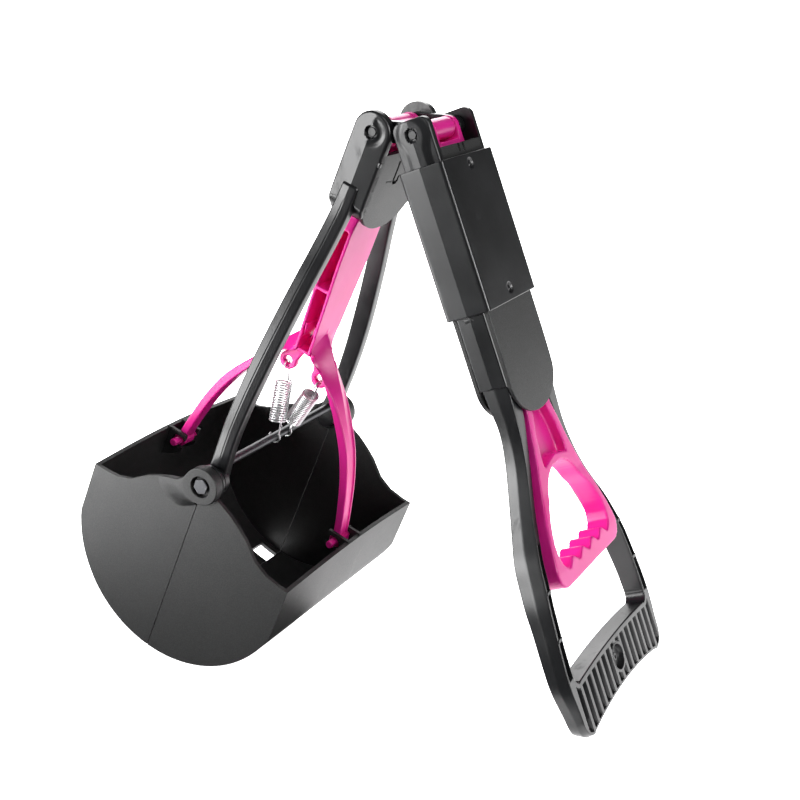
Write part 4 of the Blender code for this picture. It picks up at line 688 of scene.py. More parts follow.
EAR_RADIUS = 9.5 * MM
EAR_INNER = 20.8 * MM
EAR_EDGE = 25.0 * MM
EAR_CROWN = 1.0 * MM
EAR_FLAT_TOP = 6.7 * MM
EAR_CORNER = 4.2 * MM
BLOCK_HALF_DEPTH = 7.3 * MM
TONGUE_TIP_LENGTH = 17.2 * MM
PIN_SINK = 2.9 * MM
SINK_DEPTH = 1.9 * MM
KEYHOLE_DEPTH = 0.9 * MM
KEYHOLE_BLEND = 1.2 * MM
PAD_RADIUS = 6.3 * MM
SPINE_HALF = 4.1 * MM
SPINE_TAPER = 2.2 * MM
NEAR_AXIS = 0.2 * MM  # half an outline starts and ends this far from the middle line
SPINE_INSET = 2.0 * MM
FORK_EAR_CORNER = 3.0 * MM
DISH_DEPTH = 0.5 * MM


def crowned(t):
    """Outer face of an ear: a flat roof with its ridge down the middle."""
    return EAR_EDGE + EAR_CROWN * (1 - np.abs(t) / EAR_RADIUS)


def sink(s, t):
    """Depth of the round sink about a fold pin's end."""
    return SINK_DEPTH * fade(np.hypot(s, t), PIN_SINK - 0.25 * MM, PIN_SINK + 0.15 * MM)


def keyhole(s, t):
    """Raised pad of a handle ear: a disc about the pin that blends into a long spine. The height
    falls along the distance outside both, rounded together, and the ear's rim rises again."""
    disc = np.hypot(s, t) - PAD_RADIUS
    spine = np.abs(t) - SPINE_HALF + SPINE_TAPER * ease(-s, -3 * MM, 3 * MM)
    near = -np.log(np.exp(-disc / KEYHOLE_BLEND) + np.exp(-spine / KEYHOLE_BLEND)) * KEYHOLE_BLEND
    return KEYHOLE_DEPTH * ease(near, -1.2 * MM, 2.6 * MM)


def handle_ears():
    """Ears and cheeks of the handle, flat on top, each with its keyhole pad."""
    end = FLARE_TOP - TONGUE_TIP_LENGTH
    top = -EAR_FLAT_TOP
    wide = EAR_RADIUS - EAR_CORNER
    half = np.concatenate((pairs(top, np.linspace(NEAR_AXIS, wide, 9)[:-1]),
                           quarter((top + EAR_CORNER, wide), EAR_CORNER, 180, 90, 16),
                           pairs(np.linspace(top + EAR_CORNER, 17.2 * MM, 24)[1:], EAR_RADIUS),
                           pairs(np.linspace(17.5 * MM, end, 90), BLOCK_HALF_DEPTH),
                           pairs(end, np.linspace(BLOCK_HALF_DEPTH, NEAR_AXIS, 7)[1:])))

    def face(s, t):
        return crowned(t) - keyhole(s, t) * fade(s, 16 * MM, 22 * MM) - sink(s, t)

    spine = (top + SPINE_INSET, end - SPINE_INSET)
    for side, label in SIDES:
        plate("handle_ear_" + label, mirrored(half), spine, face, EAR_INNER, HANDLE, side, "black_plastic",
              "handle", crease=PIN_SINK)


def fork_ears():
    """Ears and cheeks of the fork: round on top, a ridge down the middle, thinning to the tongue's
    round end by its ellipse y = half width * sqrt(1 - x^2)."""
    start = FORK_TONGUE_LENGTH - TONGUE_TIP_LENGTH
    widest = EAR_EDGE + EAR_CROWN
    end = start + TONGUE_TIP_LENGTH * math.sqrt(1 - (EAR_INNER / widest) ** 2)
    corner = FORK_EAR_CORNER
    half = np.concatenate((quarter((0, 0), EAR_RADIUS, 178, 90, 34),
                           pairs(np.linspace(0, end - corner, 60)[1:], EAR_RADIUS),
                           quarter((end - corner, EAR_RADIUS - corner), corner, 90, 0, 10)[1:],
                           pairs(end, np.linspace(EAR_RADIUS - corner, NEAR_AXIS, 7)[1:])))

    def face(s, t):
        tongue = widest * np.sqrt(1 - np.clip((s - start) / TONGUE_TIP_LENGTH, 0, 0.9) ** 2)
        ring = np.hypot(s, t)
        dish = DISH_DEPTH * ease(ring, 3.4 * MM, 4.6 * MM) * fade(ring, 5.2 * MM, 7.4 * MM)
        dish = dish * ease(t, -1.0 * MM, 2.0 * MM) * fade(s, 3 * MM, 8 * MM)
        return np.minimum(crowned(t), tongue) - sink(s, t) - dish

    for side, label in SIDES:
        piece = plate("fork_ear_" + label, mirrored(half), (0.0, end - corner), face, EAR_INNER, FORK, side,
                      "black_plastic", "fork", radius=1.1 * MM, crease=PIN_SINK)
        if side > 0:
            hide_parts("fork_frame")


FORK_TONGUE_LENGTH = 48.2 * MM
ARM_TOP = 26.0 * MM
ARM_TOP_OUTER = 26.9 * MM
ARM_END_OUTER = 57.0 * MM
ARM_THICKNESS = 6.5 * MM
ARM_HALF_WIDTH = 4.8 * MM
ARM_END_ROUND = 0.9 * MM
ARM_ROOF = 0.55 * MM
ARM_LINE = 0.16 * MM
ARM_BOW_SHARES = ((0, 0), (0.06, 0.033), (0.12, 0.096), (0.22, 0.256), (0.315, 0.435), (0.41, 0.6),
                  (0.51, 0.757), (0.60, 0.88), (0.70, 0.985), (0.80, 1.045), (0.86, 1.045),
                  (0.93, 1.025), (1, 1))
ARM_WIDTH_SHARES = ((0, 0.88), (0.12, 0.94), (0.315, 0.98), (0.51, 1.0), (0.60, 1.0), (0.70, 0.96),
                    (0.80, 0.92), (0.86, 0.9), (0.93, 0.96), (1, 1.08))
AXLE_DEPTH = 181.6 * MM
SPRING_ROD_DEPTH = 174.0 * MM
EYE_RADIUS = 8.3 * MM
EYE_BORE = 2.7 * MM
EYE_STEPS = ((57.4, -0.7), (57.5, -1.6), (58.5, -1.6), (58.6, -0.3), (58.8, -0.1), (60.2, -0.1), (60.4, -0.3),
             (60.5, -1.2), (61.4, -1.2), (61.5, 0.1), (61.7, 0.3))
JAW_HALF_WIDTH = 65.0 * MM
JAW_WALL = 2.2 * MM
COIL_RADIUS = 4.0 * MM


def fork_arms():
    """Bowed arms of the fork: a bar along its bow with a low roof down the outer face, a fine groove
    along its ridge and a round end, on a round eye with two grooves."""
    share = np.concatenate((np.linspace(0, 0.012, 4)[:-1], np.linspace(0.012, 1, 110)))
    s = ARM_TOP + (AXLE_DEPTH - ARM_TOP) * share
    half = ARM_HALF_WIDTH * through(ARM_WIDTH_SHARES, share)
    turn = np.linspace(0, np.pi / 2, 10)[1:-1]
    s = np.concatenate((s, AXLE_DEPTH + half[-1] * np.sin(turn)))
    half = np.concatenate((half, half[-1] * np.cos(turn)))
    share = (s - ARM_TOP)[:, None] / (AXLE_DEPTH - ARM_TOP)
    outer = ARM_TOP_OUTER + (ARM_END_OUTER - ARM_TOP_OUTER) * through(ARM_BOW_SHARES, share)
    start = ARM_END_ROUND * (np.sqrt(1 - np.clip(1 - share / 0.006, 0, 1) ** 2) - 1)
    radius = np.minimum(1.0 * MM, half * 0.4)
    across, high = corner_loop(half + start[:, 0] * 0.6, ARM_THICKNESS / 2, radius, 6, 40)
    roof = ARM_ROOF * (np.abs(across) / half[:, None])
    line = ARM_LINE * fade(np.abs(across), 0.15 * MM, 0.45 * MM)
    line = line * ease(share, 0.04, 0.08) * fade(share, 0.88, 0.94)
    y = outer - ARM_THICKNESS / 2 + high + start
    y = y - np.where(high > 0, roof, 0) - np.where(high > ARM_THICKNESS / 2 - 0.01 * MM, line, 0)
    outside = JAW_HALF_WIDTH - JAW_WALL - 0.4 * MM
    inside = ARM_END_OUTER - ARM_THICKNESS / 2
    eye = [(inside, EYE_BORE), (inside, EYE_RADIUS - 1.2 * MM), (inside + 0.5 * MM, EYE_RADIUS - 0.7 * MM)]
    eye += [(depth * MM, EYE_RADIUS + rise * MM) for depth, rise in EYE_STEPS]
    eye += [(outside - 0.2 * MM, EYE_RADIUS + 0.3 * MM), (outside, EYE_RADIUS + 0.1 * MM)]
    eye += [(outside, EYE_BORE)]
    centre = FORK.at(AXLE_DEPTH, 0.0, 0.0)
    for side, label in SIDES:
        skin("fork_arm_" + label, FORK.at(s[:, None], side * y, across), "black_plastic", "fork", sharp=50)
        turned("fork_eye_" + label, eye, centre, (0, side, 0), "black_plastic", "fork", 72)


HUB_RADIUS = 9.5 * MM
HUB_RISE = 3.1 * MM
HUB_REACH = ((0, 12.0), (12, 15.0), (28, 21.0), (45, 25.0), (60, 27.0), (75, 27.0), (110, 20.0), (180, 20.0))
HUB_RIM = ((10.6, -25.0), (6.5, -18.1), (4.0, -13.4), (1.0, -10.6), (-2.2, -9.25))
POCKET_RADIUS = 5.2 * MM
POCKET_DEPTH = 2.7 * MM


def jaw_hubs():
    """Hubs of the rear jaw: a boss about the axle line whose height falls off smoothly over the jaw's
    side, y = side + rise * (1 - S curve of the distance), with a round pocket for the bolt's head."""
    angles, reach = np.array(HUB_REACH).T
    fan = np.linspace(0.6, 66, 60)
    far = np.interp(fan, angles, reach) * MM
    low = pairs(far * np.cos(np.radians(fan)), -far * np.sin(np.radians(fan)))
    rim = along(np.array(HUB_RIM) * MM, 40)
    outline = np.concatenate((low, rim, quarter((0, 0), HUB_RADIUS, 257, 0, 90)[1:])) + (AXLE_DEPTH, 0.0)

    def distance(s, t):
        return np.hypot(s - AXLE_DEPTH, t)

    def face(s, t):
        angle = np.degrees(np.arctan2(-t, s - AXLE_DEPTH))
        r = distance(s, t)
        fall = ease(r, HUB_RADIUS - 0.2 * MM, np.interp(angle, angles, reach) * MM)
        return (JAW_HALF_WIDTH + 0.02 * MM + HUB_RISE * (1 - fall)
                - POCKET_DEPTH * fade(r, POCKET_RADIUS - 0.1 * MM, POCKET_RADIUS + 0.25 * MM))

    def back(s, t):
        return JAW_HALF_WIDTH + np.where(distance(s, t) < HUB_RADIUS + 0.5 * MM, 0.1 * MM, -0.8 * MM)

    spine = (AXLE_DEPTH - 0.01 * MM, AXLE_DEPTH + 0.01 * MM)
    for side, label in SIDES:
        plate("jaw_hub_" + label, outline, spine, face, back, FORK, side, "grained_plastic", "jaw_rear",
              radius=0.45 * MM, steps=60)


def bar(name, s_range, y_range, t_range, leg, finish, body, radius=0.4 * MM):
    """Small block with rounded edges: a rounded section carried from end to end."""
    low, high = s_range
    mid_y, mid_t = sum(y_range) / 2, sum(t_range) / 2
    half_y, half_t = abs(y_range[1] - y_range[0]) / 2, abs(t_range[1] - t_range[0]) / 2
    turn = np.linspace(0, np.pi / 2, 4)
    s = np.concatenate((low + radius * (1 - np.cos(turn)), high - radius * (1 - np.cos(turn))[::-1]))
    draw = np.concatenate((radius * (1 - np.sin(turn)), radius * (1 - np.sin(turn))[::-1]))
    across, height = corner_loop(half_y - draw, half_t - draw, radius, 3, 2)
    skin(name, leg.at(s[:, None], mid_y + across, mid_t + height), finish, body, sharp=60)


BRIDGE_TOP = 12.0 * MM
BRIDGE_INNER = 5.75 * MM
BRIDGE_HALF_WIDTH = 16.2 * MM
WEB_BOX = ((4.7, 7.2), (-12.8, 12.8), (-4.7, -3.1))


def frame_blocks():
    """Guides and bridges that join the cheeks of each leg round the sliding rods."""
    for leg, body in ((HANDLE, "handle"), (FORK, "fork")):
        for side, label in FACES:
            depths = (side * BRIDGE_INNER, side * BLOCK_HALF_DEPTH)
            bar("%s_bridge_%s" % (body, label), (BRIDGE_TOP, 2 * BRIDGE_TOP),
                (-BRIDGE_HALF_WIDTH, BRIDGE_HALF_WIDTH), depths, leg, "black_plastic", body)
    for side, label in SIDES:
        widths = (side * CAVITY_HALF_WIDTH, side * (EAR_INNER + 0.2 * MM))
        bar("fork_guide_" + label, (BLOCK_TOP, FORK_TONGUE_LENGTH - TONGUE_TIP_LENGTH), widths,
            (-BLOCK_HALF_DEPTH, BLOCK_HALF_DEPTH), FORK, "black_plastic", "fork")


def trigger_web():
    """Wall that closes the foot of the trigger's fork behind the link."""
    bar("trigger_web", *np.array(WEB_BOX) * MM, HANDLE, "pink_plastic", "trigger")


BOSS_FOOT = 0.5 * MM
BOSS_STEPS = ((-0.5, 7.25), (-0.12, 7.05), (0, 6.8), (0, 6.3), (-0.2, 6.05), (-1.4, 5.85), (-2.3, 5.4),
              (-2.5, 4.6), (-2.5, 2.3), (-2.3, 2.05), (-1.9, 1.7), (-1.9, 1.0), (-2.4, 0.75), (-2.4, 0.05))


def grip_boss():
    """Round boss in the middle of the grip: a raised ring, a sunk middle and a low inner ring."""
    top = SIDE_DEPTH + 0.1 * MM
    profile = [(BOSS_FOOT, 7.3 * MM)] + [(top + rise * MM, radius * MM) for rise, radius in BOSS_STEPS]
    centre = HANDLE.at(HANDLE_LENGTH - BOSS_INSET, 0.0, 0.0)
    turned("grip_boss", profile, centre, HANDLE.out, "black_plastic", "handle", 64)


def wire(name, line, radius, finish, body, sides):
    """Round wire along a line of points. The spokes of each ring stay square to the line and turn
    as little as they can from one ring to the next."""
    run = np.gradient(line, axis=0)
    run /= np.linalg.norm(run, axis=1)[:, None]
    spoke = np.cross(run[0], (0.0, 1.0, 0.0) if abs(run[0][1]) < 0.8 else (1.0, 0.0, 0.0))
    spokes = []
    for direction in run:
        spoke = spoke - direction * spoke.dot(direction)
        spoke = spoke / np.linalg.norm(spoke)
        spokes.append(spoke)
    spokes = np.array(spokes)
    other = np.cross(run, spokes)
    angle = np.linspace(0, 2 * np.pi, sides, endpoint=False)
    rings = line[:, None] + radius * (np.cos(angle)[None, :, None] * spokes[:, None]
                                      + np.sin(angle)[None, :, None] * other[:, None])
    return skin(name, rings, finish, body)


WIRE_RADIUS = 0.5 * MM
CURLS = 17
CURL_PITCH = 1.28 * MM
CURL_STEPS = 22
HOOK_RADIUS = 2.8 * MM
ROD_HOOK_RADIUS = 3.0 * MM
SPRING_SPAN = 40.0 * MM
LUG_OUT = 9.8 * MM
HOOK_DROP = 3.6 * MM
ROD_HOOK_SIDE = 5.6 * MM


def springs():
    """Tension springs: a hook through the yoke's ring, close curls as a helix, and a hook on the rod."""
    for outward, label in FACES:
        top = FORK.at(SPRING_ROD_DEPTH - SPRING_SPAN + HOOK_DROP, 0.0, LUG_OUT * outward)
        low = FORK.at(SPRING_ROD_DEPTH, ROD_HOOK_SIDE * outward, 0.0)
        span = low - top
        axis = span / np.linalg.norm(span)
        side = np.array((0.0, 1.0, 0.0)) - axis * axis[1]
        side /= np.linalg.norm(side)
        turn = np.radians(np.linspace(200, 0, 20))[:, None]
        eye = top - axis * HOOK_RADIUS * np.sin(turn) + side * HOOK_RADIUS * np.cos(turn)
        slack = (np.linalg.norm(span) - CURL_PITCH * CURLS) / 2
        share = np.linspace(0, CURLS, CURLS * CURL_STEPS + 1)[:, None]
        ring = side * np.cos(2 * np.pi * share) + np.cross(axis, side) * np.sin(2 * np.pi * share)
        coil = top + axis * slack + axis * CURL_PITCH * share + ring * COIL_RADIUS
        turn = np.radians(np.linspace(-30, 220, 24))[:, None]
        tail = low + ROD_HOOK_RADIUS * np.concatenate((np.cos(turn), 0 * turn, -np.sin(turn)), 1)
        middle = (coil[-1] + tail[0]) / 2 + axis * WIRE_RADIUS
        lead = top + axis * slack * 0.5 + side * HOOK_RADIUS * 0.8
        knots = np.concatenate((eye, lead[None], coil, middle[None], tail))
        piece = wire("spring_%s_wire" % label, knots, WIRE_RADIUS, "bright_steel", None, 10)
        list(coil[-1])
        list(coil[0])
        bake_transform(piece)
        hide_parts("spring_" + label)


COVER_OUTER = 9.5 * MM
TONGUE_HALF_WIDTH = 24.8 * MM
FORK_COVER_TOP = 7.8 * MM
HANDLE_COVER_TOP = 8.8 * MM
HANDLE_TONGUE_LENGTH = 136.2 * MM
HOOK_SLOT = ((13.0, -3.9), (22.8, -3.6), (24.0, -2.6), (23.9, -0.6), (22.9, 0.4), (21.2, 0.5))
SCRATCH = ((22.5, -11.0), (22.2, -8.6), (22.8, -6.0))
SLOT_HALF_WIDTH = 0.55 * MM
SLOT_DEPTH = 1.5 * MM
SCRATCH_SIZE = 0.3 * MM
BEND_START = 98.0 * MM
BEND_DEPTH = 1.25 * MM
NOTCH_DEPTH = 0.9 * MM


def groove(s, y, line, half, depth):
    """Depth of a groove along a line of points, by the distance to the nearest of its legs."""
    near = np.full(s.shape, 1.0)
    points = np.array(line) * MM
    for (a, b), (c, d) in zip(points[:-1], points[1:]):
        run = np.clip(((s - a) * (c - a) + (y - b) * (d - b)) / ((c - a) ** 2 + (d - b) ** 2), 0, 1)
        near = np.minimum(near, np.hypot(s - a - run * (c - a), y - b - run * (d - b)))
    return depth * fade(near, half - 0.15 * MM, half + 0.15 * MM)


def covers():
    """Tongue-shaped covers of both legs: straight sides and a half ellipse at the end. Fine grooves,
    slots and notches sink into the face, and the handle's front tongue bends in to its end."""
    back = BLOCK_HALF_DEPTH + 0.05 * MM
    for leg, body, top, end in ((FORK, "fork", FORK_COVER_TOP, FORK_TONGUE_LENGTH),
                                (HANDLE, "handle", HANDLE_COVER_TOP, HANDLE_TONGUE_LENGTH)):
        start = end - TONGUE_TIP_LENGTH
        sides = np.arange(top, start, 0.5 * MM)
        wide = np.full(len(sides), TONGUE_HALF_WIDTH)
        if body == "handle":
            wide = wide + (EAR_INNER + 0.4 * MM - TONGUE_HALF_WIDTH) * fade(sides, 15.5 * MM, 17.5 * MM)
        turn = np.radians(np.linspace(90, 0.5, 80))
        tip = pairs(start + TONGUE_TIP_LENGTH * np.cos(turn), TONGUE_HALF_WIDTH * np.sin(turn))
        half = np.concatenate((pairs(top, np.linspace(NEAR_AXIS, wide[0], 51)[:-1]), pairs(sides, wide), tip))
        spine = (top + SPINE_INSET, end - SPINE_INSET)
        for side, label in FACES:
            def face(s, y):
                high = np.full(s.shape, COVER_OUTER)
                if side > 0 and body == "handle":
                    bend = BEND_DEPTH * np.clip((s - BEND_START) / (end - BEND_START), 0, 1) ** 2.2
                    notches = ease(np.abs(y), 1.4 * MM, 1.7 * MM) - ease(np.abs(y), 3.1 * MM, 3.4 * MM)
                    high = high - bend - NOTCH_DEPTH * notches * fade(s, 12.8 * MM, 13.2 * MM)
                elif side > 0:
                    high = high - groove(s, y, HOOK_SLOT, SLOT_HALF_WIDTH, SLOT_DEPTH)
                    high = high - groove(s, y, SCRATCH, SCRATCH_SIZE, SCRATCH_SIZE)
                return high

            piece = plate("%s_%s_tongue" % (body, label), mirrored(half), spine, face, back, leg, side,
                          "grained_plastic", body, radius=0.6 * MM, flat=True, steps=60)
            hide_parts("%s_%s_cover" % (body, label))
    for side, label in SIDES:
        widths = (side * 23.6 * MM, side * 25.3 * MM)
        bar("fork_tab_" + label, (10.7 * MM, 13.2 * MM), widths, (8.6 * MM, 10.0 * MM), FORK, "black_plastic",
            "fork", 0.25 * MM)


YOKE_FRONT = 4.4 * MM
YOKE_BACK = 5.0 * MM
YOKE_SKIN = 1.6 * MM
YOKE_FLANGE_END = 110.8 * MM
YOKE_FOOT = 122.0 * MM
SKIRT_HALF_WIDTH = 10.9 * MM
FLEX_ROOT = 111.15 * MM
FLEX_ROOT_OUT = 3.4 * MM
FLEX_TIP = AXLE_DEPTH + 26.9 * MM
FLEX_TIP_OUT = 51.5 * MM
FLEX_STEPS = (0, 0.05, 0.11, 0.205, 0.35, 0.5, 0.655, 0.81, 0.923, 1)
FLEX_OUT_SHARES = (0, 0.075, 0.162, 0.303, 0.512, 0.694, 0.827, 0.919, 0.973, 1)
FLEX_THICKNESS = 4.7 * MM
FLEX_THICKNESS_SHARES = (0.62, 0.8, 0.98, 1, 1, 1, 0.96, 0.94, 0.92, 0.92)
FLEX_HALF_WIDTH = 11.2 * MM
FLEX_WIDTH_SHARES = (1, 0.92, 0.83, 0.69, 0.545, 0.465, 0.43, 0.4, 0.385, 0.385)
FLEX_FOLD = ((105, 0), (108, 1.2), (112, 3.0), (118, 5.6), (122, 6.2), (126, 5.2), (130, 3.8), (138, 1.8),
             (150, 0.6), (162, 0))
FLEX_GROOVE = 0.7 * MM
FLEX_LIP = 1.3 * MM
FLEX_LEAD = -0.057
FLEX_CORNER = 0.8 * MM
FLEX_ROOT_CORNER = 0.7 * MM
FLEX_ROOT_BACK = 4.0 * MM
FLEX_ROOT_FADE = (120.5 * MM, 125.5 * MM)
PIN_STEPS = ((-10.6, 0.05), (-10.6, 1.6), (-10.2, 2.0), (-4.4, 2.0), (-4.4, 3.1), (-3.9, 3.6))
YOKE_DEPTHS = {"front": (YOKE_FRONT - YOKE_SKIN, YOKE_FRONT), "rear": (-YOKE_BACK, YOKE_SKIN - YOKE_BACK)}


def pink_arms():
    """Springy pink arms. Each bows out along its path from a thick root. Near the root the outer face
    is folded like a roof, whose ridge fades out below, and the inner face is cut straight; farther
    down a shallow groove runs between two lips. A barrel and a pin close the end. Short skirts join
    the roots to the yoke."""
    share = np.concatenate((np.linspace(FLEX_LEAD, 0, 14)[:-1], np.linspace(0, 1, 150)))

    def carried(shares):
        return through(tuple(zip(FLEX_STEPS, shares)), share)

    s = FLEX_ROOT + (FLEX_TIP - FLEX_ROOT) * share
    t = FLEX_ROOT_OUT + (FLEX_TIP_OUT - FLEX_ROOT_OUT) * carried(FLEX_OUT_SHARES)
    thick = FLEX_THICKNESS * carried(FLEX_THICKNESS_SHARES)
    half = FLEX_HALF_WIDTH * carried(FLEX_WIDTH_SHARES)
    run_s, run_t = np.gradient(s), np.gradient(t)
    size = np.hypot(run_s, run_t)
    normal_s, normal_t = -run_t / size, run_s / size
    lead = fade(share, FLEX_LEAD, 0.0) * (thick / 2 + FLEX_ROOT_OUT - YOKE_FRONT + 0.1 * MM)
    sag = through(FLEX_FOLD, s / MM) * MM
    round_off = FLEX_CORNER + FLEX_ROOT_CORNER * fade(share, 0.1, 0.4)
    across, high = corner_loop(half, thick / 2, np.minimum(round_off, thick * 0.45), 6, 46, 6)
    side = np.clip(np.abs(across) / half[:, None], 0, 1)
    upper = np.clip(high / thick[:, None] + 0.5, 0, 1)
    fold = sag[:, None] * (1 - (1 - side) ** 1.25) * upper
    inset = half[:, None] - np.abs(across)
    sunk = FLEX_GROOVE * ease(inset, FLEX_LIP, FLEX_LIP + 0.5 * MM) * ease(share, 0.22, 0.4)[:, None]
    sunk = np.where(high > thick[:, None] / 2 - 0.001 * MM, sunk, 0)
    high = high - fold - sunk - lead[:, None] * upper
    place_s = s[:, None] + normal_s[:, None] * high
    place_t = t[:, None] + normal_t[:, None] * high
    root = np.maximum(place_t - FLEX_ROOT_BACK, 0) * fade(s, *FLEX_ROOT_FADE)[:, None]
    place_t = place_t - root * (1 - upper) ** 0.7
    pin = np.array(PIN_STEPS) * MM
    pin = np.concatenate((pin, (pin * (-1, 1))[::-1]))
    for outward, label in FACES:
        arm = "yoke_arm_" + label
        rings = FORK.at(place_s, across, outward * place_t)
        piece = skin("pink_arm_" + label, rings, "pink_plastic", arm, sharp=50)
        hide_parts(arm)
        tip = FORK.at(FLEX_TIP, 0.0, outward * FLEX_TIP_OUT)
        turned("pink_arm_pin_" + label, pin, tip, (0, 1, 0), "pink_plastic", arm, 36)
    for label, depths in YOKE_DEPTHS.items():
        bar("yoke_skirt_" + label, (YOKE_FLANGE_END - 2 * MM, YOKE_FOOT - 0.6 * MM),
            (-SKIRT_HALF_WIDTH, SKIRT_HALF_WIDTH), depths, FORK, "pink_plastic", "yoke")


SLEEVE_TOP = 14.6 * MM
SLEEVE_END = 83.9 * MM
SLEEVE_WALL = 1.5 * MM
SLEEVE_HALF_WIDTH = 26.9 * MM
SLEEVE_HALF_DEPTH = 11.4 * MM
SLEEVE_CORNER = 1.4 * MM
SLEEVE_INNER_CORNER = 0.9 * MM
SLEEVE_RIM = 0.4 * MM
FINE_ENDS = 9.0 * MM
DIMPLES = (SLEEVE_TOP + 4.6 * MM, SLEEVE_END - 5.6 * MM)
DIMPLE_DEPTH = 1.0 * MM
DOME_RISE = 0.7 * MM
DOME_SHIFT = 0.7 * MM
STOP_BOX = ((84.7, 86.6), (-25.98, -25.0), (-3.2, 1.4))


def six_sided(edge, half, radius):
    """Outline of the sleeve: flat front and back, and sides with a crease in the middle."""
    climb = np.linspace(0, half - radius, 14)
    part = np.concatenate((pairs(edge + EAR_CROWN * (1 - climb / half), climb),
                           quarter((edge - radius, half - radius), radius, 0, 90, 6)[1:],
                           pairs(np.linspace(edge - radius, 0, 60)[1:], half)))
    upper = np.concatenate((part, (part * (-1, 1))[::-1][1:]))
    return np.concatenate((upper, (upper * (1, -1))[::-1][1:-1]))


def sleeve():
    """Locking sleeve: a flat tube whose wall is carried round its outline, with two round dimples in
    the front, each with a low dome."""
    outer = six_sided(SLEEVE_HALF_WIDTH, SLEEVE_HALF_DEPTH, SLEEVE_CORNER)
    inner = six_sided(SLEEVE_HALF_WIDTH - SLEEVE_WALL, SLEEVE_HALF_DEPTH - SLEEVE_WALL, SLEEVE_INNER_CORNER)
    turn = np.linspace(0, np.pi / 2, 5)
    rim = SLEEVE_RIM / SLEEVE_WALL * (1 - np.cos(turn))
    down = SLEEVE_RIM * (1 - np.sin(turn))
    first, last = SLEEVE_TOP + SLEEVE_RIM, SLEEVE_END - SLEEVE_RIM
    long_s = np.concatenate((np.linspace(first, SLEEVE_TOP + FINE_ENDS, 34),
                             np.linspace(SLEEVE_TOP + FINE_ENDS, SLEEVE_END - FINE_ENDS, 20)[1:-1],
                             np.linspace(SLEEVE_END - FINE_ENDS, last, 34)))
    depth = np.concatenate((long_s, SLEEVE_END - down[1:], SLEEVE_END - down[::-1],
                            np.linspace(last, first, 4)[1:-1],
                            SLEEVE_TOP + down, SLEEVE_TOP + down[::-1][:-1]))
    share = np.concatenate((0 * long_s, rim[1:], 1 - rim[::-1], (1.0, 1.0), 1 - rim, rim[::-1][:-1]))[:, None]
    y, t = np.moveaxis(outer + (inner - outer) * share[..., None], -1, 0)
    s = np.repeat(depth[:, None], len(outer), 1)
    for middle in DIMPLES:
        dimple = DIMPLE_DEPTH * fade(np.hypot(s - middle, y), 2.2 * MM, 2.7 * MM)
        dome = DOME_RISE * fade(np.hypot(s - middle, y + DOME_SHIFT), 0.5 * MM, 1.7 * MM)
        t = t - np.where((t > SLEEVE_HALF_DEPTH - 0.01 * MM) & (share == 0), dimple - dome, 0)
    piece = skin("sleeve_moulding", HANDLE.at(s, y, t), "black_plastic", "sleeve", closed=True, sharp=180)
    mark_crease(piece, HANDLE, SLEEVE_HALF_WIDTH - SLEEVE_WALL)
    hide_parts("sleeve")
    bar("sleeve_stop", *np.array(STOP_BOX) * MM, HANDLE, "black_plastic", "handle", 0.15 * MM)


def mark_crease(piece, leg, beyond):
    """Keep the line down the middle of each side crisp."""
    mesh = piece.data
    points = points_of(mesh) - leg.pin
    ends = np.empty(len(mesh.edges) * 2, np.int32)
    mesh.edges.foreach_get("vertices", ends)
    on = (np.abs(points @ leg.out) < 1e-6) & (np.abs(points[:, 1]) > beyond)
    crisp = on[ends.reshape(-1, 2)].all(axis=1)
    layer = mesh.attributes.get("sharp_edge") or mesh.attributes.new("sharp_edge", "BOOLEAN", "EDGE")
    layer.data.foreach_set("value", crisp)


FINE = {"trigger": (0.52 * MM, 5), "yoke": (0.45 * MM, 4), "inner_link": (0.35 * MM, 4)}
SHAPED = ("handle_frame", "fork_frame", "spring_front", "spring_rear", "sleeve", "yoke_arm_front",
          "yoke_arm_rear", "fork_front_cover", "fork_rear_cover", "handle_front_cover", "handle_rear_cover")

for node in NODES:
    finish = SLOT_OF.get(node, "black_plastic")
    if node in FINE:
        rounded(node, finish, *FINE[node])
    elif node not in SHAPED:
        softened(node, finish)
handle_rails()
handle_ears()
grip_boss()
fork_ears()
fork_arms()
jaw_hubs()
frame_blocks()
trigger_web()
springs()
covers()
pink_arms()
sleeve()


# Stage ------------------------------------------------------------------------------------------

def glow(name, strength, grey):
    """Plain stage material: it gives off white light of its own, and is grey under other light."""
    made = bpy.data.materials.new(name)
    made.use_nodes = True
    shader = made.node_tree.nodes["Principled BSDF"]
    shader.inputs["Base Color"].default_value = rgb(grey, grey, grey)
    shader.inputs["Roughness"].default_value = 0.9
    shader.inputs["Emission Color"].default_value = rgb(1.0, 1.0, 1.0)
    shader.inputs["Emission Strength"].default_value = strength
    return made


def sheet_of(name, corners, faces, finish):
    """Flat sheets of the stage."""
    mesh = bpy.data.meshes.new(name)
    mesh.from_pydata(corners, [], faces)
    mesh.materials.append(finish)
    made = placed(name, mesh)
    return made


def soft_light(name, place, target, width, height, radiance, fill=True, shine=True):
    """Soft box. Its power follows from its size and from how bright its face looks."""
    lamp = bpy.data.lights.new(name, "AREA")
    lamp.shape = "RECTANGLE"
    lamp.size = width
    lamp.size_y = height
    lamp.energy = radiance * math.pi * width * height
    made = placed(name, lamp)
    made.location = place
    made.rotation_euler = (Vector(target) - Vector(place)).to_track_quat("-Z", "Y").to_euler()
    made.visible_diffuse = fill
    made.visible_glossy = shine


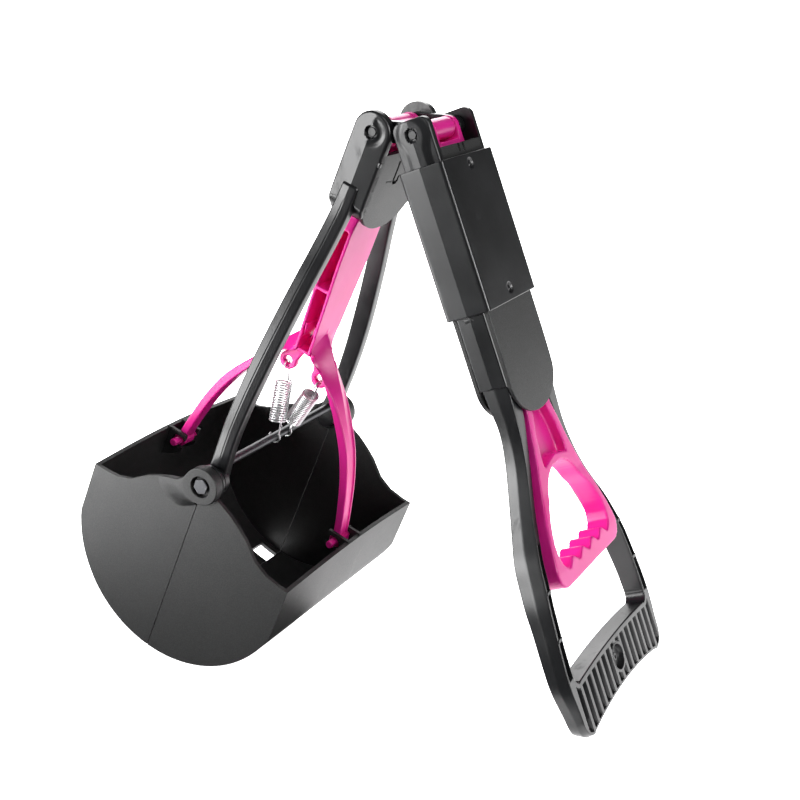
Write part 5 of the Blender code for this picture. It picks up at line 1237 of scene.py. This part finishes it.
# The floor and the walls round it are a plain white ground, seen by the camera alone. Two hidden
# sheets just above the floor throw light up: the table behind the tool and the apron before it.
ROOM = 8.0
SHEET_HEIGHT = 0.4 * MM
TABLE_EDGE = ((-2.5, 0.0), (0.05, 0.0), (0.10, -0.075), (2.5, -0.075), (2.5, 4.0), (-2.5, 4.0))
APRON_EDGE = ((-0.17, -0.28), (-0.30, -0.13), (-0.72, -0.30), (-0.45, -0.58))

ring = [(-ROOM, -ROOM), (ROOM, -ROOM), (ROOM, ROOM), (-ROOM, ROOM)]
floor = sheet_of("floor", [(x, y, 0.0) for x, y in ring] + [(x, y, ROOM) for x, y in ring],
                 [(0, 1, 2, 3)] + [(k, (k + 1) % 4, (k + 1) % 4 + 4, k + 4) for k in range(4)],
                 glow("white_floor", 1.5, 0.85))
floor.visible_glossy = floor.visible_diffuse = False
for name, edge, strength in (("table", TABLE_EDGE, 2.4), ("apron", APRON_EDGE, 10.0)):
    sheet = sheet_of(name, [(x, y, SHEET_HEIGHT) for x, y in edge], [tuple(range(len(edge)))],
                     glow(name + "_glow", strength, 0.6))
    sheet.visible_camera = False

world = bpy.data.worlds.new("room")
world.use_nodes = True
world.node_tree.nodes["Background"].inputs["Color"].default_value = rgb(1.0, 1.0, 1.0)
world.node_tree.nodes["Background"].inputs["Strength"].default_value = 0.10
bpy.context.scene.world = world

soft_light("box_left", (-1.06, -1.14, 0.32), (0.0, 0.0, 0.2), 1.1, 0.64, 13.5)
soft_light("box_right", (1.3, -1.0, 1.6), (0.05, 0.0, 0.1), 0.9, 0.9, 4.0)
soft_light("box_shine", (1.36, -0.42, 0.45), (0.0, 0.0, 0.2), 0.6, 0.6, 20.0, fill=False)
soft_light("box_back", (-0.80, 1.85, 0.95), (0.0, 0.0, 0.15), 1.1, 1.1, 4.5, fill=False)
soft_light("box_top", (0.25, -0.15, 1.5), (0.0, 0.0, 0.2), 1.0, 1.0, 2.3, shine=False)

camera = bpy.data.cameras.new("camera")
camera.lens = 62.954
camera.sensor_width = 36.0
camera.clip_start = 0.01
eye = placed("camera", camera)
eye.location = (0.316855, -0.579963, 0.334)
eye.rotation_euler = [math.radians(a) for a in (72.8676, 0.9295, 27.1939)]
bpy.context.scene.camera = eye
bpy.context.scene.view_settings.view_transform = "Standard"
